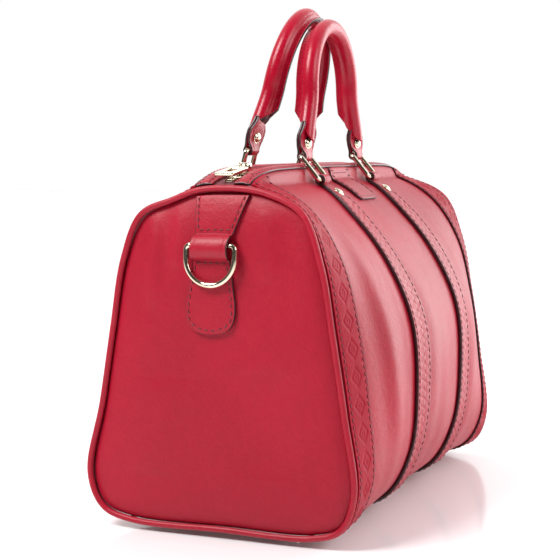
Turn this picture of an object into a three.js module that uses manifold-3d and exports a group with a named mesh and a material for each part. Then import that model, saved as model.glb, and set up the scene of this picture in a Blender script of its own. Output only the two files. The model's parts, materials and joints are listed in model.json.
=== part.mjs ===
// A zip-top leather handbag with two end gussets, two rolled handles on rings and a D-ring at each
// end. Millimetres. X runs along the bag, the front is towards -Y, +Z is up, and the origin is on
// the ground under the middle of the base.
import * as THREE from 'three';
import { mergeVertices } from 'three/addons/utils/BufferGeometryUtils.js';
import Module from 'manifold-3d';

const wasm = await Module();
wasm.setup();

// Driving dimensions
const FACE_X = 170.5;            // gusset face at its edge
const GUSSET_BULGE = 2.5;        // how far the gusset's middle stands out
const TOP_LEAN = 4.3;            // how far the gusset's top leans in
const LEAN_START = 180;          // height where the gusset starts to lean
const TOP_Z = 242;               // height of the gusset's top
const BASE_Z = 6;                // underside of the base panel
const GAP = 0.3;                 // between pieces that touch
const LEATHER = 2.4;             // panels and gussets
const BAND = 1.6;                // end bands, zip bands and the label tab
const STRAP = 2.6;               // straps and D-ring tabs
const LINING = 0.8;
const PIPING_RADIUS = 2.2;
const PIPING_INSET = 0.6;        // of the piping's centre inside the outline
const PANEL_END = 167.4;         // where the panels meet the piping
const BAND_EDGE = 143;           // inner edge of the end bands
const STRAP_X = 56;              // middle of each strap
const STRAP_WIDTH = 25;
const STRAP_NECK = 13;           // strap width at its ring
const RING_WIRE = 1.9;           // radius
const RING_WIDTH = 18;           // between wire centres
const RING_HEIGHT = 22.6;        // between bar centres
const LOOP_BORE = 2.3;           // leather loop round a ring's bar
const LOOP_OUTSIDE = 4.3;
const RING_STATION = 7.97;       // outline parameter of the straps' ends
const RIVET_STATION = 7.5;
const FRONT_RING_TILT = 40;      // degrees that each pair of rings leans towards the middle
const BACK_RING_TILT = 15;
const FRONT_HANDLE_TILT = 1;
const BACK_HANDLE_TILT = 12.8;
const FRONT_HANDLE_HEIGHT = 98;  // ring bar to the crown of the handle's centre line
const BACK_HANDLE_HEIGHT = 105;  // the back handle stands taller, so that the two nest
const HANDLE_HALF_SPAN = 43;
const HANDLE_ARCH_Z = 50;        // where the legs turn into the arch
const HANDLE_END_Z = 19.5;       // where the rolled cover ends, on its centre line
const HANDLE_ROOT_Z = 10;        // the legs' line meets the end tabs' line here
const TAB_SPLAY = 0.16;          // slope of the end tabs' line away from the middle
const TAB_THICKNESS = 4.2;       // of the folded end tab
const TAB_TOP = 34;              // where the tab ends inside the rolled cover
const HANDLE_RADIUS = 6.4;
const CORE_RADIUS = 4.4;
const FLANGE_REACH = 11.2;       // stitched edge of the rolled cover, from the centre line
const FLANGE_HALF = 1.5;
const END_SLANT = 1.3;           // slope of the cover's cut ends
const RIVET_Z = 9.5;             // handle rivet above the ring's bar
const RIVET_RADIUS = 4;
const RIVET_SHANK = 1.4;
const CROWN_Z = 248;             // height of the zip
const ROLL_HEIGHT = 8;           // how far the bag puffs up on both sides of the zip
const ROLL_STATION = 8.48;       // where it is highest
const ROLL_WIDTH = 0.25;         // in stations
const ROLL_FULLNESS = 8;         // how far towards the gussets they stay full
const TRIM_TOP = 8.35;           // station where the end bands and the label tab end
const LABEL_HALF = 20;           // half width of the label tab
const CHAIN_END = 150;
const TEETH_HEIGHT = 2.8;
const TEETH_WIDTH = 2.5;         // of each row
const TEETH_SINK = 0.4;          // of the rows' middle below the zip's height
const SLIDER_X = -127;
const PIVOT_RISE = 7.6;          // zip pull's pin above the crown
const PULL_LENGTH = 36;
const PULL_WIDTH = 14;
const PULL_THICKNESS = 2.4;
const PULL_DROP = 4.8;           // how far the pull's tip lies below its pin
const D_BAR_Z = 203;
const D_BAR_LIFT = 5.4;          // D-ring's bar in front of the gusset
const D_HALF_WIDTH = 18;
const D_LEG = 9;
const D_WIRE = 2;
const D_TILT = 3;                // degrees that the hanging D-ring rests out from vertical
const FOOT_X = 150;
const FOOT_Y = 44;
const FOOT_HEIGHT = 3.4;         // under the end bands
const BOARD_Z = 9.9;             // underside of the base board
const BOARD_THICKNESS = 2.4;

// Half outline of the bag, bottom centre to top centre, as [gusset y, z, middle y, z, fullness].
// A section between the two blends from one to the other, fuller the higher its last number.
const OUTLINE = [
  [0, BASE_Z, 0, BASE_Z, 2.6],
  [68, BASE_Z + 0.5, 52, BASE_Z + 0.8, 2.6],
  [88.5, 14, 84, 17, 2.6],
  [98, 38, 104, 50, 2.6],
  [91, 92, 110, 96, 2.6],
  [82.5, 145, 105.5, 146, 2.6],
  [74, 192, 83, 190, 4],
  [60, 225, 54, 223, 5],
  [32, 239, 29, 241, 8],
  [0, TOP_Z, 0, CROWN_Z, 12],
];
const TOP_STATION = OUTLINE.length - 1;
const SIDE_STATIONS = [
  1.02, 1.5, 2, 2.5, 3, 3.6, 4.3, 5, 5.6, 6, 6.35, 6.7, 7, 7.35, 7.7, 7.97, 8.12, 8.3,
  8.45,
];
const PANEL_X = [
  -PANEL_END, -BAND_EDGE, -110, -STRAP_X - STRAP_WIDTH / 2, -STRAP_X + STRAP_WIDTH / 2, -20,
  20, STRAP_X - STRAP_WIDTH / 2, STRAP_X + STRAP_WIDTH / 2, 110, BAND_EDGE, PANEL_END,
];

const degrees = THREE.MathUtils.degToRad;
const vector = (x, y, z) => new THREE.Vector3(x, y, z);
const bag = new THREE.Group();

// Materials
const leather = () => new THREE.MeshStandardMaterial({ color: 0xb81f3d, roughness: 0.42, metalness: 0 });
const darkLeather = () => new THREE.MeshStandardMaterial({ color: 0xa01832, roughness: 0.5, metalness: 0 });
const gold = () => new THREE.MeshStandardMaterial({ color: 0xd8c49a, roughness: 0.18, metalness: 1 });
const fabric = () => new THREE.MeshStandardMaterial({ color: 0x8c1a2e, roughness: 0.9, metalness: 0 });
const liningCloth = () => new THREE.MeshStandardMaterial({ color: 0xb9a184, roughness: 0.9, metalness: 0 });
const board = () => new THREE.MeshStandardMaterial({ color: 0x8a6f4d, roughness: 0.95, metalness: 0 });

function add(name, geometry, material, parent = bag) {
  const mesh = new THREE.Mesh(geometry, material);
  mesh.name = name;
  parent.add(mesh);
  return mesh;
}

// Closed meshes from rows of points

function fromTriangles(triangles) {
  const volume = triangles.reduce((sum, [a, b, c]) => sum + a.dot(vector().crossVectors(b, c)), 0);
  const positions = [];
  for (const [a, b, c] of triangles) {
    const corners = volume < 0 ? [a, c, b] : [a, b, c];
    corners.forEach((corner) => positions.push(corner.x, corner.y, corner.z));
  }
  const geometry = new THREE.BufferGeometry();
  geometry.setAttribute('position', new THREE.Float32BufferAttribute(positions, 3));
  return mergeVertices(geometry, 1e-4);
}

// Turns a lathe's surface into one closed mesh that faces out
function closed(geometry) {
  const position = geometry.getAttribute('position');
  const index = geometry.getIndex();
  const corner = (i) => vector().fromBufferAttribute(position, index.getX(i));
  const triangles = [];
  for (let i = 0; i < index.count; i += 3) {
    const triangle = [corner(i), corner(i + 1), corner(i + 2)];
    if (new THREE.Triangle(...triangle).getArea() > 1e-6) triangles.push(triangle);
  }
  return fromTriangles(triangles);
}

// Two rows of points joined by triangles. Turned, the same triangles face the other way.
function ribbon(triangles, first, second, { loop = false, turned = false } = {}) {
  const steps = loop ? first.length : first.length - 1;
  for (let i = 0; i < steps; i += 1) {
    const j = (i + 1) % first.length;
    const pair = [[first[i], first[j], second[j]], [first[i], second[j], second[i]]];
    pair.forEach(([a, b, c]) => triangles.push(turned ? [a, c, b] : [a, b, c]));
  }
}

// A sheet with thickness, from two grids of points of the same size
function plate(outer, inner) {
  const triangles = [];
  const last = outer.length - 1;
  for (let i = 0; i < last; i += 1) {
    ribbon(triangles, outer[i], outer[i + 1]);
    ribbon(triangles, inner[i], inner[i + 1], { turned: true });
  }
  const end = outer[0].length - 1;
  ribbon(triangles, inner[0], outer[0]);
  ribbon(triangles, outer[last], inner[last]);
  ribbon(triangles, outer.map((row) => row[0]), inner.map((row) => row[0]));
  ribbon(triangles, inner.map((row) => row[end]), outer.map((row) => row[end]));
  return fromTriangles(triangles);
}

// A bar through rings of points, with flat ends
function bar(rings) {
  const triangles = [];
  for (let i = 0; i + 1 < rings.length; i += 1) {
    ribbon(triangles, rings[i], rings[i + 1], { loop: true });
  }
  const cap = (ring, flip) => {
    const middle = ring.reduce((sum, point) => sum.add(point), vector()).divideScalar(ring.length);
    ring.forEach((point, i) => {
      const next = ring[(i + 1) % ring.length];
      triangles.push(flip ? [middle, next, point] : [middle, point, next]);
    });
  };
  cap(rings[0], true);
  cap(rings[rings.length - 1], false);
  return fromTriangles(triangles);
}

// A bar that closes on itself
function hoop(rings) {
  const triangles = [];
  rings.forEach((ring, i) => ribbon(triangles, ring, rings[(i + 1) % rings.length], { loop: true }));
  return fromTriangles(triangles);
}

// An open pipe through outer and inner rings
function pipe(outer, inner) {
  const triangles = [];
  const last = outer.length - 1;
  for (let i = 0; i < last; i += 1) {
    ribbon(triangles, outer[i], outer[i + 1], { loop: true });
    ribbon(triangles, inner[i], inner[i + 1], { loop: true, turned: true });
  }
  ribbon(triangles, inner[0], outer[0], { loop: true });
  ribbon(triangles, outer[last], inner[last], { loop: true });
  return fromTriangles(triangles);
}

// Places a section's [side, up] points round each point of a path. Up leans towards the reference.
function sweep(path, section, reference, loop = false) {
  const count = path.length;
  return path.map((point, i) => {
    const before = loop ? path[(i + count - 1) % count] : path[Math.max(i - 1, 0)];
    const after = loop ? path[(i + 1) % count] : path[Math.min(i + 1, count - 1)];
    const along = after.clone().sub(before).normalize();
    const side = vector().crossVectors(along, reference).normalize();
    const up = vector().crossVectors(side, along);
    return section.map(([a, b]) => point.clone().addScaledVector(side, a).addScaledVector(up, b));
  });
}

function circle(radius, sides) {
  const angles = Array.from({ length: sides }, (_, i) => (i / sides) * 2 * Math.PI);
  return angles.map((angle) => [radius * Math.cos(angle), radius * Math.sin(angle)]);
}

// Booleans

function toSolid(geometry) {
  const bare = geometry.clone();
  bare.deleteAttribute('normal');
  bare.deleteAttribute('uv');
  const merged = mergeVertices(bare, 1e-4);
  return new wasm.Manifold(new wasm.Mesh({
    numProp: 3,
    vertProperties: new Float32Array(merged.getAttribute('position').array),
    triVerts: new Uint32Array(merged.getIndex().array),
  }));
}

function fromSolid(solid) {
  const mesh = solid.getMesh();
  const geometry = new THREE.BufferGeometry();
  geometry.setAttribute('position', new THREE.BufferAttribute(mesh.vertProperties, 3));
  geometry.setIndex(new THREE.BufferAttribute(mesh.triVerts, 1));
  return geometry;
}

function join(...geometries) {
  return fromSolid(geometries.map(toSolid).reduce((whole, next) => whole.add(next)));
}

function cut(geometry, ...tools) {
  return fromSolid(tools.map(toSolid).reduce((whole, tool) => whole.subtract(tool), toSolid(geometry)));
}

function common(first, second) {
  return fromSolid(toSolid(first).intersect(toSolid(second)));
}

function box(sizeX, sizeY, sizeZ, x, y, z) {
  return new THREE.BoxGeometry(sizeX, sizeY, sizeZ).translate(x, y, z);
}

// A cylinder along Z, moved so that Z points along a direction
function rod(radius, length, sides, centre, direction) {
  const geometry = new THREE.CylinderGeometry(radius, radius, length, sides).rotateX(Math.PI / 2);
  geometry.applyQuaternion(new THREE.Quaternion().setFromUnitVectors(vector(0, 0, 1), direction));
  return geometry.translate(centre.x, centre.y, centre.z);
}

// Shape drawn in (across, up), pushed through the depth on both sides of the plane x = 0
function extrudeAlongX(shape, depth) {
  const geometry = new THREE.ExtrudeGeometry(shape, { depth, bevelEnabled: false, curveSegments: 8 });
  geometry.translate(0, 0, -depth / 2);
  geometry.rotateX(Math.PI / 2);
  return geometry.rotateZ(Math.PI / 2);
}

// The bag's outer surface

function leanAt(z) {
  const rise = Math.max(0, (z - LEAN_START) / (TOP_Z - LEAN_START));
  return TOP_LEAN * rise * rise;
}

function outlineAt(x) {
  const reach = Math.min(1, Math.abs(x) / FACE_X);
  const half = OUTLINE.map(([gussetY, gussetZ, middleY, middleZ, fullness]) => {
    const full = 1 - reach ** fullness;
    return vector(0, gussetY + (middleY - gussetY) * full, gussetZ + (middleZ - gussetZ) * full);
  });
  const mirrored = half.slice(1, TOP_STATION).reverse().map((point) => vector(0, -point.y, point.z));
  return new THREE.CatmullRomCurve3([...half, ...mirrored], true, 'centripetal');
}

// A station runs from 0 at the bottom to 9 at the top: positive at the back, negative at the front
function onOutline(curve, x, station) {
  const point = curve.getPoint(Math.abs(station) / (2 * TOP_STATION));
  point.y *= Math.sign(station);
  point.x = x * (1 - leanAt(point.z) / FACE_X);
  return point;
}

// How far the padded roll beside the zip stands out
function rollAt(x, station) {
  const across = (Math.abs(station) - ROLL_STATION) / ROLL_WIDTH;
  const full = 1 - Math.min(1, Math.abs(x) / FACE_X) ** ROLL_FULLNESS;
  return ROLL_HEIGHT * full * Math.exp(-(across ** 4));
}

function onBag(x, station, lift = 0) {
  const step = 0.02;
  const curve = outlineAt(x);
  const point = onOutline(curve, x, station);
  const along = onOutline(outlineAt(x + step), x + step, station)
    .sub(onOutline(outlineAt(x - step), x - step, station));
  const round = onOutline(curve, x, station + step).sub(onOutline(curve, x, station - step));
  if (Math.abs(station) < step) round.set(0, 1, 0);
  const normal = vector().crossVectors(along, round).normalize();
  if (normal.dot(vector(0, point.y, point.z - TOP_Z / 2)) < 0) normal.negate();
  point.addScaledVector(normal, lift + rollAt(x, station));
  return { point, normal };
}

// A patch between two lifts above the bag's surface. edge(x, station) may move a point along X.
function patch(xs, stations, low, high, edge = (x) => x) {
  const layer = (lift) => stations.map((s) => xs.map((x) => onBag(edge(x, s), s, lift).point));
  return plate(layer(high), layer(low));
}

const mirrorStations = (stations) => stations.map((s) => -s).reverse();
const allRound = (stations) => [...mirrorStations(stations), 0, ...stations];

// A closed solid shaped like the bag, shrunk by an inset and cut off at its ends
function bagCore(inset, halfLength) {
  const xs = [-halfLength, -BAND_EDGE, -110, -STRAP_X, 0, STRAP_X, 110, BAND_EDGE, halfLength];
  const round = [0.5, ...SIDE_STATIONS.filter((s, i) => i % 2 === 0 || s > 7.9), TOP_STATION - 0.25];
  const stations = [0, ...round, ...mirrorStations(round)];
  return bar(xs.map((x) => stations.map((s) => onBag(x, s, -inset).point)));
}

// The end gusset's outer face
function gussetX(y, z) {
  const bulge = GUSSET_BULGE * (1 - (y / 100) ** 2) * (1 - ((z - 120) / 118) ** 2);
  return FACE_X - leanAt(z) + Math.max(0, bulge);
}

const onGusset = (side, y, z, lift) => vector(side * (gussetX(y, z) + lift), y, z);

// Panels, gussets, piping and bands

const baseStations = [-1, -0.5, 0, 0.5, 1];
const feet = [-FOOT_X, FOOT_X].flatMap((x) => [-FOOT_Y, FOOT_Y].map((y) => [x, y]));
const footHoles = feet.map(([x, y]) => rod(2.15, 20, 10, vector(x, y, 10), vector(0, 0, 1)));

add('front_panel', patch(PANEL_X, mirrorStations(SIDE_STATIONS), -LEATHER, 0), leather());
add('back_panel', patch(PANEL_X, SIDE_STATIONS, -LEATHER, 0), leather());
add('base_panel', cut(patch(PANEL_X, baseStations, -LEATHER, 0), ...footHoles), leather());

function outlineLoop(side, x, inset, stations) {
  const curve = outlineAt(FACE_X);
  const loop = [...stations, ...mirrorStations(stations.slice(1, -1))];
  return loop.map((s) => {
    const round = onOutline(curve, x, s + 0.02).sub(onOutline(curve, x, s - 0.02)).setX(0).normalize();
    const point = onOutline(curve, side * x, s);
    const outward = vector(0, round.z, -round.y);
    if (s === 0) outward.set(0, 0, -1);
    if (s === TOP_STATION) outward.set(0, 0, 1);
    return point.addScaledVector(outward, -inset);
  });
}

const loopStations = [0, 1, 1.5, 2, 2.5, 3, 3.6, 4.3, 5, 5.6, 6.1, 6.5, 6.8, 7.1, 7.5, 8, 8.5, 9];

function gusset(side) {
  const inset = PIPING_INSET + PIPING_RADIUS + GAP;
  const edge = outlineLoop(1, 0, inset, loopStations);
  const middle = vector(0, 0, 120);
  const layer = (lift) => [1, 0.8, 0.5].map((share) => edge.map((point) => {
    const { y, z } = middle.clone().lerp(point, share);
    return onGusset(side, y, z, lift);
  }));
  const outer = layer(0);
  const inner = layer(-LEATHER);
  const triangles = [];
  ribbon(triangles, inner[0], outer[0], { loop: true });
  for (let i = 0; i < 2; i += 1) {
    ribbon(triangles, outer[i], outer[i + 1], { loop: true });
    ribbon(triangles, inner[i], inner[i + 1], { loop: true, turned: true });
  }
  edge.forEach((_, i) => {
    const j = (i + 1) % edge.length;
    triangles.push([onGusset(side, 0, 120, 0), outer[2][i], outer[2][j]]);
    triangles.push([onGusset(side, 0, 120, -LEATHER), inner[2][j], inner[2][i]]);
  });
  return fromTriangles(triangles);
}

for (const [name, side] of [['left', -1], ['right', 1]]) {
  add(`${name}_gusset`, gusset(side), leather());

  const pipingX = FACE_X - PIPING_INSET;
  const seam = outlineLoop(side, pipingX, PIPING_INSET, loopStations);
  add(`${name}_piping`, hoop(sweep(seam, circle(PIPING_RADIUS, 6), vector(1, 0, 0), true)), leather());

  const bandX = side < 0 ? [-PANEL_END, -BAND_EDGE] : [BAND_EDGE, PANEL_END];
  const bandStations = allRound([0.5, ...SIDE_STATIONS.slice(0, -1), TRIM_TOP]);
  const band = cut(patch(bandX, bandStations, GAP, GAP + BAND), ...footHoles);
  add(`${name}_end_band`, band, darkLeather());
}

// Zip, its leather bands and the label tab

for (const [name, side] of [['front', -1], ['back', 1]]) {
  const across = (stations) => (side < 0 ? mirrorStations(stations) : stations);
  const bandStations = across([8.38, 8.45, 8.6, 8.75]);
  add(`${name}_zip_band`, patch(PANEL_X, bandStations, GAP, GAP + BAND), darkLeather());
  const tapeX = [-PANEL_END + 1, ...PANEL_X.slice(1, -1), PANEL_END - 1];
  add(`${name}_zip_tape`, patch(tapeX, across([8.5, 8.6, 8.75, 8.87]), -1.2, -0.2), fabric());
  const teeth = box(2 * CHAIN_END, TEETH_WIDTH, TEETH_HEIGHT, 0, side * 1.75, CROWN_Z - TEETH_SINK);
  add(`${name}_zip_teeth`, teeth, gold());
}
const labelStations = mirrorStations([7.25, 7.35, 7.5, 7.7, 7.97, 8.12, 8.3, TRIM_TOP]);
add('label_tab', patch([-LABEL_HALF, LABEL_HALF], labelStations, GAP, GAP + BAND), darkLeather());
for (const [name, side] of [['left', -1], ['right', 1]]) {
  add(`${name}_zip_stop`, box(4, 6, 2.4, side * (CHAIN_END + 2.5), 0, CROWN_Z - 2), gold());
}

// Slider: two plates either side of the teeth, a post between the rows, two ears and their pin
const sliderPlate = (width, thickness, z) => box(14, width, thickness, 0, 0, z);
const pivot = vector(SLIDER_X, 0, CROWN_Z + PIVOT_RISE);
const ear = (y) => join(
  box(6, 1.4, PIVOT_RISE - 2.6, 0, y, 2.6 + (PIVOT_RISE - 2.6) / 2),
  rod(3, 1.4, 14, vector(0, y, PIVOT_RISE), vector(0, 1, 0)),
);
const slider = join(
  sliderPlate(8.8, 1.4, 2.1),
  sliderPlate(9, 1.3, -3.7),
  box(6, 0.5, 6.4, 3.5, 0, -0.8),
  box(14, 1, 1.4, 0, 3.9, 0.9),
  box(14, 1, 1.4, 0, -3.9, 0.9),
  ear(3.7),
  ear(-3.7),
  rod(1.1, 7, 10, vector(0, 0, PIVOT_RISE), vector(0, 1, 0)),
);
add('zip_slider', slider, gold()).position.set(SLIDER_X, 0, CROWN_Z);

// Pull: a plate with a window at its tip and an eye round the pin, lying back towards the left end
function pullOutline() {
  const half = PULL_WIDTH / 2;
  const shape = new THREE.Shape();
  shape.moveTo(-1.5, -2.4);
  shape.lineTo(-1.5, 2.4);
  shape.lineTo(-7, 2.4);
  shape.lineTo(-9, half);
  shape.lineTo(-PULL_LENGTH, half);
  shape.lineTo(-PULL_LENGTH, -half);
  shape.lineTo(-9, -half);
  shape.lineTo(-7, -2.4);
  const window = new THREE.Path();
  window.moveTo(-PULL_LENGTH + 5, -3.4);
  window.lineTo(-PULL_LENGTH + 5, 3.4);
  window.lineTo(-PULL_LENGTH + 20, 3.4);
  window.lineTo(-PULL_LENGTH + 20, -3.4);
  shape.holes.push(window);
  return shape;
}

const pullPlate = new THREE.ExtrudeGeometry(pullOutline(), { depth: PULL_THICKNESS, bevelEnabled: false })
  .translate(0, 0, -PULL_THICKNESS / 2);
const pullEye = rod(2.7, 4.8, 14, vector(0, 0, 0), vector(0, 1, 0));
const pull = add(
  'zip_pull',
  cut(join(pullPlate, pullEye), rod(1.45, 8, 12, vector(0, 0, 0), vector(0, 1, 0))),
  gold(),
);
pull.position.copy(pivot);
pull.rotation.y = -Math.asin(PULL_DROP / PULL_LENGTH);

// Straps, with a loop round each ring's lower bar and a rivet below it

const domeProfile = (radius, height, shank, depth) => [
  ...Array.from({ length: 4 }, (_, i) => {
    const angle = (i / 3) * (Math.PI / 2);
    return new THREE.Vector2(radius * Math.sin(angle), height * Math.cos(angle) + 0.4);
  }),
  new THREE.Vector2(radius, 0),
  new THREE.Vector2(shank, 0),
  new THREE.Vector2(shank, -depth),
  new THREE.Vector2(0, -depth),
];

// A domed rivet along +Z whose head starts at z = 0
function rivet(radius, height, shank, depth) {
  const lathe = new THREE.LatheGeometry(domeProfile(radius, height, shank, depth), 10);
  return closed(lathe.rotateX(Math.PI / 2));
}

function strapHalfWidth(station) {
  const taper = THREE.MathUtils.smoothstep(Math.abs(station), 6.6, RING_STATION);
  return THREE.MathUtils.lerp(STRAP_WIDTH, STRAP_NECK, taper) / 2;
}

const strapStations = allRound([0.5, ...SIDE_STATIONS.slice(0, -4), RING_STATION]);
const loopLift = GAP + LOOP_OUTSIDE;
const facing = (direction) => new THREE.Quaternion().setFromUnitVectors(vector(0, 0, 1), direction);

for (const [name, side] of [['left', -1], ['right', 1]]) {
  const middle = side * STRAP_X;
  const edge = (x, station) => middle + x * strapHalfWidth(station);
  let strap = patch([-1, 1], strapStations, GAP, GAP + STRAP, edge);
  for (const [face, towards] of [['front', -1], ['back', 1]]) {
    const axis = onBag(middle, towards * RING_STATION, loopLift).point.setX(middle);
    const bore = rod(LOOP_BORE, 30, 14, axis, vector(1, 0, 0));
    const { point, normal } = onBag(middle, towards * RIVET_STATION, GAP + STRAP);
    const hole = rod(RIVET_SHANK + GAP, 8, 10, point, normal);
    strap = cut(join(strap, rod(LOOP_OUTSIDE, STRAP_NECK, 16, axis, vector(1, 0, 0))), bore, hole);

    const head = add(`${face}_${name}_strap_rivet`, rivet(RIVET_RADIUS, 1.6, RIVET_SHANK, 2.2), gold());
    head.position.copy(point).addScaledVector(normal, GAP);
    head.quaternion.copy(facing(normal));
  }
  add(`${name}_strap`, strap, darkLeather());
}

// Rings: a rounded rectangle of wire that stands up from its lower bar
function ringPath() {
  const corner = 2.4;
  const half = RING_WIDTH / 2;
  const centres = [[half, 0, -90], [half, RING_HEIGHT, 0], [-half, RING_HEIGHT, 90], [-half, 0, 180]];
  return centres.flatMap(([x, z, start]) => [0, 30, 60, 90].map((turn) => {
    const angle = degrees(start + turn);
    const centreX = x - Math.sign(x) * corner;
    const centreZ = z === 0 ? corner : z - corner;
    return vector(centreX + corner * Math.cos(angle), 0, centreZ + corner * Math.sin(angle));
  }));
}

const ringGeometry = () => hoop(sweep(ringPath(), circle(RING_WIRE, 8), vector(0, 1, 0), true));

// Handles, in a frame with the ring's upper bar along X through the origin and +Z up the handle
const ARCH_STEPS = 10;

// Middle of an end tab at a height
const tabX = (side, z) => side * (STRAP_X - TAB_SPLAY * Math.max(0, z));

// A leg bends smoothly from the arch's end to the end tab's line
function legX(z) {
  const drop = HANDLE_ARCH_Z - HANDLE_ROOT_Z;
  const t = (HANDLE_ARCH_Z - z) / drop;
  const shift = tabX(1, HANDLE_ROOT_Z) - HANDLE_HALF_SPAN;
  return HANDLE_HALF_SPAN + shift * (3 - 2 * t) * t * t + TAB_SPLAY * drop * (t - 1) * t * t;
}

// Section of the rolled cover: a circle with a flat stitched edge towards +Y
function coverSection(radius, half, reach) {
  const start = Math.asin(half / radius);
  const turn = 2 * Math.PI - 2 * start;
  const round = Array.from({ length: 11 }, (_, i) => {
    const angle = start + turn * (i / 10);
    return [radius * Math.sin(angle), radius * Math.cos(angle)];
  });
  return [...round, [-half, reach], [half, reach]];
}

// Rings of a section along a handle. The ends are cut on a slope, so each [side, up] point of the
// section starts at its own height: the stitched edge ends higher.
function alongHandle(height, section, grow = 0) {
  const legs = [0, 0.35, 0.7].map((share) => section.map(([a, b]) => {
    const start = HANDLE_END_Z + END_SLANT * b - grow;
    const z = THREE.MathUtils.lerp(start, HANDLE_ARCH_Z, share);
    const slope = (legX(z + 0.01) - legX(z - 0.01)) / 0.02;
    const length = Math.hypot(1, slope);
    return vector(legX(z) - a / length, b, z + (a * slope) / length);
  }));
  const rise = height - HANDLE_ARCH_Z;
  const arch = Array.from({ length: ARCH_STEPS + 1 }, (_, i) => {
    const angle = Math.PI * (i / ARCH_STEPS);
    const along = vector(-HANDLE_HALF_SPAN * Math.sin(angle), 0, rise * Math.cos(angle)).normalize();
    return section.map(([a, b]) => vector(
      HANDLE_HALF_SPAN * Math.cos(angle) - a * along.z,
      b,
      HANDLE_ARCH_Z + rise * Math.sin(angle) + a * along.x,
    ));
  });
  const mirrored = legs.map((ring) => ring.map((point) => vector(-point.x, point.y, point.z)));
  return [...legs, ...arch, ...mirrored.reverse()];
}

function coreRings(height, radius) {
  const count = coverSection(HANDLE_RADIUS, FLANGE_HALF, FLANGE_REACH).length;
  return alongHandle(height, circle(radius, count).map(([a, b]) => [b, a]));
}

// The folded end tab, seen along X: a loop round the ring's bar that closes into a flat strip
function tabProfile() {
  const half = TAB_THICKNESS / 2;
  const closing = 5.5;
  const shape = new THREE.Shape();
  shape.moveTo(half, TAB_TOP);
  shape.lineTo(half, closing);
  shape.lineTo(LOOP_OUTSIDE * Math.cos(0.3), LOOP_OUTSIDE * Math.sin(0.3));
  shape.absarc(0, 0, LOOP_OUTSIDE, 0.3, Math.PI - 0.3, true);
  shape.lineTo(-half, closing);
  shape.lineTo(-half, TAB_TOP);
  const bore = new THREE.Path();
  bore.absarc(0, 0, LOOP_BORE, 0, 2 * Math.PI, false);
  shape.holes.push(bore);
  return shape;
}

// The tab's leaf outline, from a narrow fold up to the handle
function leafOutline(side) {
  const widths = [[-6, 6], [2, 6], [9, 7.6], [16, 8], [24, 7.2], [32, 6]];
  const points = [
    ...widths.map(([z, half]) => new THREE.Vector2(tabX(side, z) + half, z)),
    ...widths.slice().reverse().map(([z, half]) => new THREE.Vector2(tabX(side, z) - half, z)),
  ];
  return new THREE.Shape(points);
}

function handleTab(height, side) {
  const strip = extrudeAlongX(tabProfile(), 24).translate(side * (STRAP_X - 2), 0, 0);
  const leaf = new THREE.ExtrudeGeometry(leafOutline(side), { depth: 20, bevelEnabled: false })
    .translate(0, 0, -10)
    .rotateX(Math.PI / 2);
  const section = coverSection(HANDLE_RADIUS + GAP, FLANGE_HALF + GAP, FLANGE_REACH + GAP);
  const cover = bar(alongHandle(height, section, 2 * GAP));
  const hole = rod(RIVET_SHANK + GAP, 20, 10, vector(tabX(side, RIVET_Z), 0, RIVET_Z), vector(0, 1, 0));
  return cut(common(strip, leaf), cover, hole);
}

// A rivet with a domed head on both sides of the tab, along Y
function handleRivet() {
  const grip = TAB_THICKNESS / 2 + GAP;
  const half = domeProfile(RIVET_RADIUS, 1.3, RIVET_SHANK, 0).slice(0, 6)
    .map((point) => new THREE.Vector2(point.x, point.y + grip));
  const other = half.map((point) => new THREE.Vector2(point.x, -point.y)).reverse();
  return closed(new THREE.LatheGeometry([...half, ...other], 10));
}

// One pair of rings and its handle. The back pair is the front one turned about Z.
function handleAssembly(face, towards, ringTilt, handleTilt, height) {
  const hinge = onBag(STRAP_X, towards * RING_STATION, loopLift).point;
  const rings = new THREE.Group();
  rings.position.set(0, hinge.y, hinge.z);
  rings.rotation.x = towards * degrees(ringTilt);
  bag.add(rings);

  const handle = new THREE.Group();
  handle.position.set(
    0,
    hinge.y - towards * RING_HEIGHT * Math.sin(degrees(ringTilt)),
    hinge.z + RING_HEIGHT * Math.cos(degrees(ringTilt)),
  );
  handle.rotation.x = towards * degrees(handleTilt);
  bag.add(handle);
  const turned = new THREE.Group();
  turned.rotation.z = towards > 0 ? Math.PI : 0;
  handle.add(turned);

  const outside = alongHandle(height, coverSection(HANDLE_RADIUS, FLANGE_HALF, FLANGE_REACH));
  const cover = pipe(outside, coreRings(height, CORE_RADIUS + GAP));
  add(`${face}_handle_cover`, cover, leather(), turned);
  add(`${face}_handle_core`, bar(coreRings(height, CORE_RADIUS)), fabric(), turned);
  for (const [name, side] of [['left', -1], ['right', 1]]) {
    add(`${face}_${name}_ring`, ringGeometry(), gold(), rings).position.x = side * STRAP_X;
    const turnedSide = -towards * side;
    add(`${face}_${name}_handle_tab`, handleTab(height, turnedSide), leather(), turned);
    const stud = add(`${face}_${name}_handle_rivet`, handleRivet(), gold(), turned);
    stud.position.set(tabX(turnedSide, RIVET_Z), 0, RIVET_Z);
  }
}

handleAssembly('front', -1, FRONT_RING_TILT, FRONT_HANDLE_TILT, FRONT_HANDLE_HEIGHT);
handleAssembly('back', 1, BACK_RING_TILT, BACK_HANDLE_TILT, BACK_HANDLE_HEIGHT);

// D-rings and their tabs

// Half width of the D-ring tab at a height: a shield above the ring, a rounded tongue below it
const TAB_OUTLINE = [
  [142.5, 6], [145, 12.5], [150, 16.8], [156, 18.3], [164, 18.2], [178, 16], [192, 13.6], [210, 13.8],
  [222, 16.5], [237, 19.8],
];

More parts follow.
